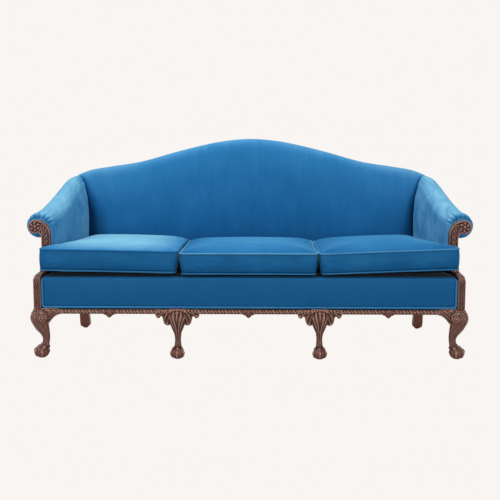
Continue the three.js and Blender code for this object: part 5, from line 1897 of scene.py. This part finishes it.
def claw_foot(carving, leg, radius, facing):
    """A ball held by four talons, with a wrinkled ankle over it."""
    x, y, _ = (float(value) for value in leg.at(np.array(FOOT_CENTRE)))
    top_x, top_y, top_half = (float(value) for value in leg.at(np.array(float(ANKLE))))
    carving.ball((x, y, radius * FOOT_SQUASH), radius, (1, 1, FOOT_SQUASH), 22, 36)
    neck = [(mix(x, top_x, share), mix(y, top_y, share), z)
            for share, z in ((0.3, radius * 1.2), (0.75, radius * 1.72), (1, ANKLE))]
    carving.rod(neck, [radius * 0.72, max(radius * 0.5, top_half), top_half], [(1, 0, 0)], 1.0, 20, 16)
    for turn in TALON_TURNS:
        c, s = math.cos(facing + turn), math.sin(facing + turn)
        path = []
        for out, up in TALON_PATH:
            share = clamp01((up - 1.4) / 0.8)
            path.append((mix(x, top_x, share) + c * radius * out, mix(y, top_y, share) + s * radius * out,
                         up * radius * FOOT_SQUASH))
        carving.rod(path, TALON_SIZES * radius, [(c, s, 0.2)], 0.95, 12, 40)
    angle = np.linspace(0, 2 * np.pi, 25)
    size = top_half * 0.96
    for height in (radius * 1.76, radius * 1.96):
        share = min(1.0, (height - radius * 1.2) / (ANKLE - radius * 1.2))
        wrinkle = np.stack([mix(x, top_x, share) + size * np.cos(angle),
                            mix(y, top_y, share) + size * np.sin(angle),
                            height + 1.5 * np.sin(3 * angle)], axis=1)
        carving.rod(wrinkle, [1.3], [(0, 0, 1)], 1.0, 6, 25)


KNEE_FLOW = [2.4, 3.4, 3.4, 2.6, 1.8, 0.7]
KNEE_VEINS = [
    ([(46, 206), (49, 186), (39, 159), (23, 131), (8, 106), (-2, 84)], KNEE_FLOW, 0.1, 0.6),
    ([(33, 210), (35, 186), (27, 161), (12, 135), (-1, 110), (-9, 88)], KNEE_FLOW, 0.1, 0.6),
    ([(22, 172), (13, 153), (1, 131), (-9, 109), (-15, 90)], KNEE_FLOW, 0.1, 0.6),
    ([(-12, 167), (-10, 150), (-15, 130), (-19, 105)], KNEE_FLOW, 0.1, 0.6),
    ([(42, 213), (28, 219), (10, 216), (-6, 218), (-20, 211)], [2.2, 3.4, 3.0, 3.2, 1.8], 0.4, 0.8),
    *(([(a - 5, z), (a + 2, z + 4), (a + 8, z - 3)], [1.2, 2.6, 0.9], 0.3, 0.7, 10)
      for a, z in ((41, 196), (40, 176), (31, 155))),
]


def knee_carving(relief, put, way):
    """A big C-scroll on the knee with leaf veins that run down into the shin; put places (across, height)."""
    start = 1.0 if way > 0 else math.pi - 1.0
    relief.volute(put(0, 186), 19, 2.1, start, [3.6, 3.4, 2.8], way, 0.26)
    relief.veins(put, KNEE_VEINS)


def corner_leg():
    leg = Cabriole(CORNER_LEG_AXIS, CORNER_LEG_LEAN, CORNER_LEG_PUSH, KNEE_HALF, CABRIOLE_SHARES[:, 3])
    carving = Carving()
    carving.loft(leg.rings(LEG_CARVED_FROM, LEG_HEIGHT - GAP))
    carving.post(rectangle(*CORNER_STUB), CORNER_STUB_LOW, PANEL_BOTTOM - GAP)
    claw_foot(carving, leg, CORNER_BALL, -math.pi / 4)
    knee_carving(Relief(carving, leg.front), lambda across, z: (KNEE_PLACE + across, z), 1)
    knee_carving(Relief(carving, leg.side, 0), lambda across, z: (KNEE_DEPTH - across, z), -1)
    return carving.fused("leg_front_right_carved", LEG_VOXEL)


SHELL_PETALS = [
    ([(3.2, 98), (5, 130), (9, 160), (16, 188), (17, 213)], [1.2, 3.4, 4.2, 5.2, 3.6], 0.8, 0.85),
    ([(9, 124), (16, 150), (25, 176), (33, 196), (31, 214)], [1.2, 3.4, 4.2, 5.2, 3.6], 0.8, 0.85),
]
SHELL_SKIRT = [(32, 180), (29, 160), (22.5, 140), (13, 112)]
SHELL_CURLS = ((0, 219, 6.2), (11.5, 218.5, 5.6), (22, 217, 5.4), (30.5, 212, 4.6), (5.8, 208, 3.8),
               (17, 207, 4.0))


def middle_leg():
    centre = MIDDLE_LEG_PLACE
    leg = Cabriole((centre, MIDDLE_LEG_DEPTH), 0, MIDDLE_LEG_PUSH, MIDDLE_KNEE_HALF, MIDDLE_WIDTH_SHARES)
    carving = Carving()
    carving.loft(leg.rings(LEG_CARVED_FROM, LEG_HEIGHT - GAP))
    claw_foot(carving, leg, MIDDLE_BALL, -math.pi / 2)
    stub = rectangle(centre - MIDDLE_STUB_HALF, centre + MIDDLE_STUB_HALF, *MIDDLE_STUB_DEPTHS)
    carving.post(stub, MIDDLE_STUB_LOW, PANEL_BOTTOM - GAP)
    relief = Relief(carving, leg.front)
    relief.vein([(centre, 222), (centre, 205), (centre, 185)], [4.6, 5.4, 2.0], 1.2, 0.8)
    for way in (-1, 1):
        relief.veins(lambda across, z: (centre + way * across, z), SHELL_PETALS)
        skirt = [(centre + way * across, -5, z) for across, z in SHELL_SKIRT]
        carving.rod(skirt, [5.0, 5.6, 4.0, 2.0], [(0, -1, 0)], 1.4, 10, 20)
    for across, z, size in SHELL_CURLS:
        for way in (1, -1) if across else (1,):
            x = centre + way * across
            face = min(float(leg.front(x, float(z))), -14.0)
            carving.ball((x, face - 1.5, z), size, (1, 0.9, 0.9))
    return carving.fused("leg_middle_right_carved", LEG_VOXEL)


def front_bracket(name, put, board, block, veins, buds):
    """A leaf bracket that stands forward of the moulding, from tables of places along it and heights."""
    carving = Carving()
    for outline, near, far in ((board, BRACKET_FACE, MOULDING_NEAR),
                               (block, MOULDING_NEAR - 1, BRACKET_BACK)):
        carving.plate(smooth_path([put(*place) for place in outline], 90, closed=True), near, far)
    relief = Relief(carving, level_at(BRACKET_FACE))
    relief.veins(put, veins)
    for along, z, size in buds:
        relief.bud(put(along, z), size, 0.9)
    return carving.fused(name, BRACKET_VOXEL)


CORNER_BOARD = [(34, 220.7), (103, 220.7), (104, 204), (93, 200.5), (82, 196.5), (72, 190.5), (64, 183.5),
                (56, 175.5), (49, 166), (43, 157), (34, 160)]
CORNER_BLOCK = [(36, 200.4), (98, 200.4), (93, 199), (82, 195), (72, 189.5), (64, 182.5), (56, 174.5),
                (49, 165), (43, 158), (36, 160)]
CORNER_VEINS = [
    ([(38, 159), (50, 170), (65, 187), (83, 199), (100, 206)], [2.4, 3.2, 3.2, 2.8, 1.8]),
    ([(33, 172), (46, 182), (61, 197), (80, 207)], [2.4, 3.8, 3.8, 1.4]),
    ([(32, 188), (43, 196), (56, 206), (70, 209)], [2.4, 4.0, 3.6, 1.4]),
    ([(32, 214), (44, 219), (56, 213), (68, 218), (80, 213), (92, 217), (101, 210)],
     [2.8, 3.8, 3.2, 3.8, 3.2, 3.4, 1.8], 0.6),
]
SIDE_BOARD = [(-2, 220.7), (59, 220.7), (60, 205), (48, 197), (34, 188), (22, 178), (12, 167), (4, 156),
              (-2, 157)]
SIDE_VEINS = [
    ([(-1, 159), (9, 168), (24, 184), (40, 196), (57, 206)], [2.2, 3.0, 3.0, 2.6, 1.6]),
    ([(-6, 173), (6, 182), (22, 198), (40, 208)], [2.4, 3.6, 3.6, 1.4]),
    ([(-6, 190), (4, 198), (18, 208), (32, 210)], [2.4, 3.6, 3.2, 1.4]),
    ([(-6, 215), (6, 219), (18, 213), (30, 218), (42, 213), (56, 213)], [2.6, 3.4, 3.0, 3.4, 3.0, 1.6], 0.6),
]
MIDDLE_BOARD = [(22, 220.7), (58, 220.9), (92, 220.7), (98, 207), (96, 192), (88, 183), (79, 184), (73, 192),
                (67, 188), (64, 175), (59, 160), (49, 151), (38, 151), (29, 157), (22, 166)]
MIDDLE_BLOCK = [(24, 200.4), (58, 200.4), (92, 200.4), (93, 193), (87, 185), (80, 186), (73, 194), (66, 189),
                (62, 175), (57, 161), (49, 153), (39, 153), (31, 159), (24, 167)]
MIDDLE_VEINS = [
    ([(24, 205), (35, 192), (41, 174), (47, 160)], [3.0, 5.6, 6.0, 5.4], 0.6),
    ([(38, 208), (50, 196), (56, 180), (56, 166)], [3.0, 5.2, 5.2, 3.4], 0.6),
    ([(56, 208), (68, 204), (78, 196), (86, 188)], [3.0, 5.0, 4.6, 3.6], 0.4),
]
MIDDLE_BUDS = [(46, 160, 7.5), (86, 193, 6.5), (34, 215, 6.2), (49, 217, 5.8), (64, 216, 5.4), (79, 212, 5.0),
               (92, 206, 4.4)]


def corner_bracket_front():
    """Leaf bracket between the corner leg and the moulding."""
    return front_bracket("knee_bracket_corner_right_carved",
                         lambda along, z: (CORNER_LEG_AXIS[0] - along, z), CORNER_BOARD, CORNER_BLOCK,
                         CORNER_VEINS, [(97, 209, 5.0)])


def corner_bracket_side():
    """Leaf bracket behind the corner leg, under the side of the frame."""
    carving = Carving()
    start = SIDE_BRACKET_START
    carving.loft([[(x, start + along, z) for along, z in SIDE_BOARD]
                  for x in (SIDE_BRACKET_INNER, SIDE_BRACKET_FACE)])
    relief = Relief(carving, level_at(SIDE_BRACKET_FACE), 0)
    relief.veins(lambda along, z: (start + along, z), SIDE_VEINS)
    relief.bud((start + 52, 208), 4.6, 0.9)
    return carving.fused("knee_bracket_side_right_carved", BRACKET_VOXEL)


def middle_bracket():
    """One of the two scrolled leaf brackets of a middle leg, made for the side toward the corner."""
    return front_bracket("knee_bracket_middle_right_outer_carved",
                         lambda along, z: (MIDDLE_LEG_PLACE + along, z), MIDDLE_BOARD, MIDDLE_BLOCK,
                         MIDDLE_VEINS, MIDDLE_BUDS)


BLOCK_LEAF = ((0, 342), (0.35, 345), (0.7, 338), (0.85, 328))


def corner_block():
    """Reeded block over a corner leg, with a bead row under its sloped top."""
    carving = Carving()
    inner, outer = BLOCK_INNER, FRAME_HALF_WIDTH
    carving.loft([[(x, y, z) for x, y in rectangle(inner + inset, outer - 1 - inset,
                                                   BLOCK_FRONT + 1.5 + inset, BLOCK_BACK)]
                  for inset, z in ((3, 221.4), (1.5, 224), (1.5, 356), (3.5, 362))])
    front = Relief(carving, level_at(BLOCK_FRONT + 3.0))
    side = Relief(carving, level_at(outer - 2.5), 0)
    for relief, middle, spread, reeds in ((front, (inner + outer) / 2, 13.5, 3),
                                          (side, (BLOCK_FRONT + BLOCK_BACK) / 2 + 1, 28, 6)):
        edge = spread + 0.5
        for way in (-1, 1):
            x = middle + way * edge
            relief.vein([(x, 226), (x, 290), (x, 356)], [2.4], 0, 0.9)
        for x in middle + np.linspace(-spread + 5.5, spread - 5.5, reeds):
            relief.vein([(x, 236), (x, 285), (x, 330)], [1.2, 2.5, 2.5, 2.5, 1.6], 0, 0.9)
        relief.vein([(middle - edge, 228), (middle + edge, 228)], [2.0], 0, 0.9)
        for x in middle + np.linspace(-spread + 2, spread - 2, reeds + 1):
            relief.bud((x, 351), 2.9, 1.0)
        for way in (-1, 1):
            leaf = [(middle + way * spread * share, z) for share, z in BLOCK_LEAF]
            relief.vein(leaf, [1.4, 2.8, 2.4, 1.0], 0.3)
        relief.vein([(middle, 345), (middle, 318)], [3.2, 2.6, 0.9], 0.4)
    return carving.fused("corner_block_right_carved", BLOCK_VOXEL)


def scroll_outline(inset, arc_steps=20):
    """Outline of the scroll board with its neck in the front view, drawn in by an inset."""
    cx, cz = SCROLL_CENTRE
    wide = cx - NECK_INNER - inset
    tall = SCROLL_RADIUS + cz - NECK_SHOULDER - inset
    crook = [(cx + wide * math.cos(a), NECK_SHOULDER + tall * math.sin(a))
             for a in np.linspace(math.pi, math.pi / 2, arc_steps)]
    radius = SCROLL_RADIUS - inset
    curl = [(cx + radius * math.cos(a), cz + radius * math.sin(a))
            for a in np.linspace(math.pi / 2, -math.pi * 0.85, 2 * arc_steps)[1:]]
    low = SEAT_FRAME_TOP + FOOT_HEIGHT - 4
    return [(NECK_OUTER - inset, low), (NECK_INNER + inset, low)] + crook + curl


SCROLL_FACE = ARM_FRONT - FACING_THICK + 4
SCROLL_BACK = ARM_FRONT - 0.3
ROSETTE_PETALS = 6
ROSETTE_PETAL = ((9, 0), (16, 0.12), (22, 0.4))
# Share of the foot's height, then how far it has come back to the scroll board and inward there
FOOT_SHARES = np.array([[0, 0, 0], [0.14, 0.19, 0.02], [0.28, 0.52, 0.12], [0.4, 0.9, 0.35],
                        [0.63, 0.98, 0.6], [1, 1, 1]])
FOOT_FACE_HEIGHTS = [362, 367.6, 373, 377.5, 386, 400.6]
FOOT_FACE_DEPTHS = [-5, 15, 50, 90, 98, 101]
FOOT_VEINS = (926, 932, 938, 944, 950)
HUSK_SPINE = [(936, 594), (925, 578), (921, 555), (921, 520), (921, 480), (921, 440), (921, 405)]
HUSK_PLACES = [1, 9, 17, 25, 33, 41, 49]
HUSK_VEINS = [
    ([(-8.5, 0), (-3, 6), (4, 15), (7.5, 25)], [2.6, 5.2, 4.6, 1.6], 1.0, 0.95, 16),
    ([(-9, 12), (-5, 17), (0, 26)], [2.0, 3.6, 1.2], 1.0, 0.95, 16),
]


def post_foot(carving):
    """The sweep from the neck down and out to the corner block."""
    rings = []
    for share in np.linspace(0, 1, 24):
        deep, inward = (float(np.interp(share, FOOT_SHARES[:, 0], FOOT_SHARES[:, k])) for k in (1, 2))
        z = SEAT_FRAME_TOP + GAP + FOOT_HEIGHT * share
        y = mix(FOOT_FRONT, ARM_FRONT - FACING_THICK + 2, deep)
        side = outer_face(ARM_FRONT)
        rings.append([(mix(BLOCK_INNER, NECK_INNER, inward) + 1, y, z),
                      (mix(FRAME_HALF_WIDTH, NECK_OUTER, inward) - 1, y, z),
                      (mix(side - 6.3, NECK_OUTER, inward), SCROLL_BACK, z),
                      (mix(side - 31.3, NECK_INNER, inward), SCROLL_BACK, z)])
    carving.loft(rings)


def husks(relief):
    """A row of leaf husks down the neck."""
    fine = smooth_path(HUSK_SPINE, 61)
    along = np.gradient(fine, axis=0)
    along /= np.linalg.norm(along, axis=1, keepdims=True)
    across = np.stack([-along[:, 1], along[:, 0]], axis=1)
    for root, side, forward in zip(fine[HUSK_PLACES], across[HUSK_PLACES], along[HUSK_PLACES]):
        relief.bud(root + side * 7.5 + forward * 3, 3.8, 1.0)
        relief.veins(lambda out, down: root + side * out + forward * down, HUSK_VEINS)


def arm_post():
    """Scroll facing with its rosette and husks, the neck and the foot down to the corner block."""
    carving = Carving()
    carving.plate(scroll_outline(1.2), SCROLL_FACE, SCROLL_BACK)
    post_foot(carving)
    relief = Relief(carving, level_at(SCROLL_FACE + 0.5))
    cx, cz = SCROLL_CENTRE
    rim = scroll_outline(4.0)
    relief.vein(rim[1:], [3.2], 0.5, 0.9, 150)
    inside = NECK_OUTER - 4
    neck = [rim[0], (inside, 470), (inside, 520), (NECK_OUTER - 1, 540), (950, 553)]
    relief.vein(neck, [3.0], 0.5, 0.9, 40)
    for k in range(ROSETTE_PETALS):
        turn = 2 * math.pi * k / ROSETTE_PETALS + 0.3
        petal = [(cx + out * math.cos(turn + bend), cz + out * math.sin(turn + bend))
                 for out, bend in ROSETTE_PETAL]
        relief.vein(petal, [3.0, 6.0, 3.4], 1.4, 0.95, 12)
    relief.bud((cx, cz), 7.5, 1.0)
    husks(relief)
    foot = Relief(carving, lambda x, z: np.interp(z, FOOT_FACE_HEIGHTS, FOOT_FACE_DEPTHS) - 0.5)
    for x in FOOT_VEINS:
        sweep = [(mix(x, 921, share), z) for share, z in ((0, 363.5), (0.3, 372), (0.6, 379), (0.85, 398))]
        foot.vein(sweep, [2.4, 3.0, 2.6, 1.6], 0.0, 0.9)
    return carving.fused("arm_post_right_carved", POST_VOXEL)


PENDANT_HALF = [(0, 184), (11, 191), (15, 197), (20, 197), (27, 201), (29, 208)]
PENDANT_VEINS = [
    ([(3, 214), (9, 205), (11, 193)], [2.4, 4.4, 4.2, 1.8], 0.2, 0.9),
    ([(8, 215), (19, 211), (24, 202)], [2.4, 4.6, 5.4, 3.0], 0.2, 0.9),
]
PENDANT_THICK = 3.5
PENDANT_PLACE = 617


def pendant(name, centre):
    """A small hanging leaf on the moulding."""
    carving = Carving()
    face = MOULDING_NEAR - PENDANT_THICK
    relief = Relief(carving, level_at(face))
    outline = [(centre - 26, 217), (centre + 26, 217)]
    outline += [(centre + x, z) for x, z in PENDANT_HALF[::-1]]
    outline += [(centre - x, z) for x, z in PENDANT_HALF[1:]]
    carving.plate(outline, face, MOULDING_NEAR)
    relief.vein([(centre, 215), (centre, 202), (centre, 184.5)], [3.0, 5.6, 5.4, 2.0], 0.4, 0.9)
    for way in (-1, 1):
        relief.veins(lambda across, z: (centre + way * across, z), PENDANT_VEINS)
    relief.bud((centre, 214), 4.4, 1.0)
    return carving.fused(name, PENDANT_VOXEL)


def carved(piece, node):
    note_recesses(piece)
    finish(piece, "mahogany", [node])


def carved_pair(piece, stem):
    """Finishes a right-hand carving and its mirror for the left; stem has {} for the side."""
    left = mirrored(piece, piece.name.replace("right", "left"))
    carved(piece, stem.format("right"))
    carved(left, stem.format("left"))


class SOFA_OT_legs(bpy.types.Operator):
    """Cabriole legs with carved knees and ball-and-claw feet"""

    bl_idname = "sofa.legs"
    bl_label = "Carved legs"

    def execute(self, context):
        carved_pair(corner_leg(), "leg_front_{}")
        carved_pair(middle_leg(), "leg_middle_{}")
        return {"FINISHED"}


class SOFA_OT_brackets(bpy.types.Operator):
    """Scrolled leaf brackets beside each leg"""

    bl_idname = "sofa.brackets"
    bl_label = "Knee brackets"

    def execute(self, context):
        carved_pair(corner_bracket_front(), "knee_bracket_corner_{}")
        carved_pair(corner_bracket_side(), "knee_bracket_side_{}")
        outer = middle_bracket()
        inner = mirrored(outer, "knee_bracket_middle_right_inner_carved")
        inner.data.transform(Matrix.Translation((2 * MIDDLE_LEG_PLACE * MM, 0, 0)))
        carved_pair(outer, "knee_bracket_middle_{}_outer")
        carved_pair(inner, "knee_bracket_middle_{}_inner")
        return {"FINISHED"}


class SOFA_OT_posts(bpy.types.Operator):
    """Reeded corner blocks and the arm posts with their scrolls"""

    bl_idname = "sofa.posts"
    bl_label = "Corner blocks and arm posts"

    def execute(self, context):
        carved_pair(corner_block(), "corner_block_{}")
        carved_pair(arm_post(), "arm_post_{}")
        return {"FINISHED"}


MOULDING_SPANS = {"left": (-886, -352), "centre": (-278, 278), "right": (352, 886)}
ROPE_HEIGHT = 211
ROPE_PITCH = 0.015
ROPE_BEAD = (0.0112, 0.0056, 0.0052)
ROPE_ALTERNATE = -0.2
ROPE_SLANT = 0.8
FILLET_HEIGHTS = (202.4, 219.8)
FILLET_RADIUS = 1.3


class SOFA_OT_moulding(bpy.types.Operator):
    """Rope carving along the moulding strips and the three leaf pendants"""

    bl_idname = "sofa.moulding"
    bl_label = "Moulding and pendants"

    def execute(self, context):
        for name, span in MOULDING_SPANS.items():
            row = [(x, MOULDING_FRONT - 0.2, ROPE_HEIGHT) for x in span]
            rope = line_piece(f"rope_moulding_{name}", [row])
            run_tree(rope_tree, rope, pitch=ROPE_PITCH, scale=ROPE_BEAD, alternate=ROPE_ALTERNATE,
                     turn=(0.0, ROPE_SLANT, 0.0), material=material_of("mahogany_rope"))
            note_recesses(rope)
            finish(rope, "mahogany_rope")
            rows = [[(x, MOULDING_FRONT + 0.6, z) for x in span] for z in FILLET_HEIGHTS]
            fillets = welts(f"moulding_fillets_{name}", rows, FILLET_RADIUS, step=40, key="mahogany_ground")
            note_recesses(fillets)
            finish(fillets, "mahogany_ground")
        for name, way in (("left", -1), ("centre", 0), ("right", 1)):
            carved(pendant(f"pendant_{name}_carved", way * PENDANT_PLACE), f"pendant_{name}")
        return {"FINISHED"}


class SOFA_PT_pieces(bpy.types.Panel):
    """Lists the sofa's operators, sizes and colours"""

    bl_idname = "SOFA_PT_pieces"
    bl_label = "Camelback sofa"
    bl_space_type = "VIEW_3D"
    bl_region_type = "UI"
    bl_category = "Sofa"

    def draw(self, context):
        for group in (context.scene.sofa_sizes, context.scene.sofa_colours):
            box = self.layout.box()
            for key in group.__annotations__:
                box.prop(group, key)
        for operator in OPERATORS:
            self.layout.operator(operator.bl_idname)


OPERATORS = [SOFA_OT_stage, SOFA_OT_timber, SOFA_OT_linings, SOFA_OT_front_panel, SOFA_OT_back,
             SOFA_OT_arms, SOFA_OT_cushions, SOFA_OT_legs, SOFA_OT_brackets, SOFA_OT_posts, SOFA_OT_moulding]
CLASSES = [SofaSizes, SofaColours, *OPERATORS, SOFA_PT_pieces]


def register():
    for kind in CLASSES:
        bpy.utils.register_class(kind)
    bpy.types.Scene.sofa_sizes = bpy.props.PointerProperty(type=SofaSizes)
    bpy.types.Scene.sofa_colours = bpy.props.PointerProperty(type=SofaColours)


def unregister():
    del bpy.types.Scene.sofa_colours
    del bpy.types.Scene.sofa_sizes
    for kind in reversed(CLASSES):
        bpy.utils.unregister_class(kind)


def main():
    register()
    for operator in OPERATORS:
        group, name = operator.bl_idname.split(".")
        getattr(getattr(bpy.ops, group), name)()
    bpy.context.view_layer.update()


if __name__ == "__main__":
    main()
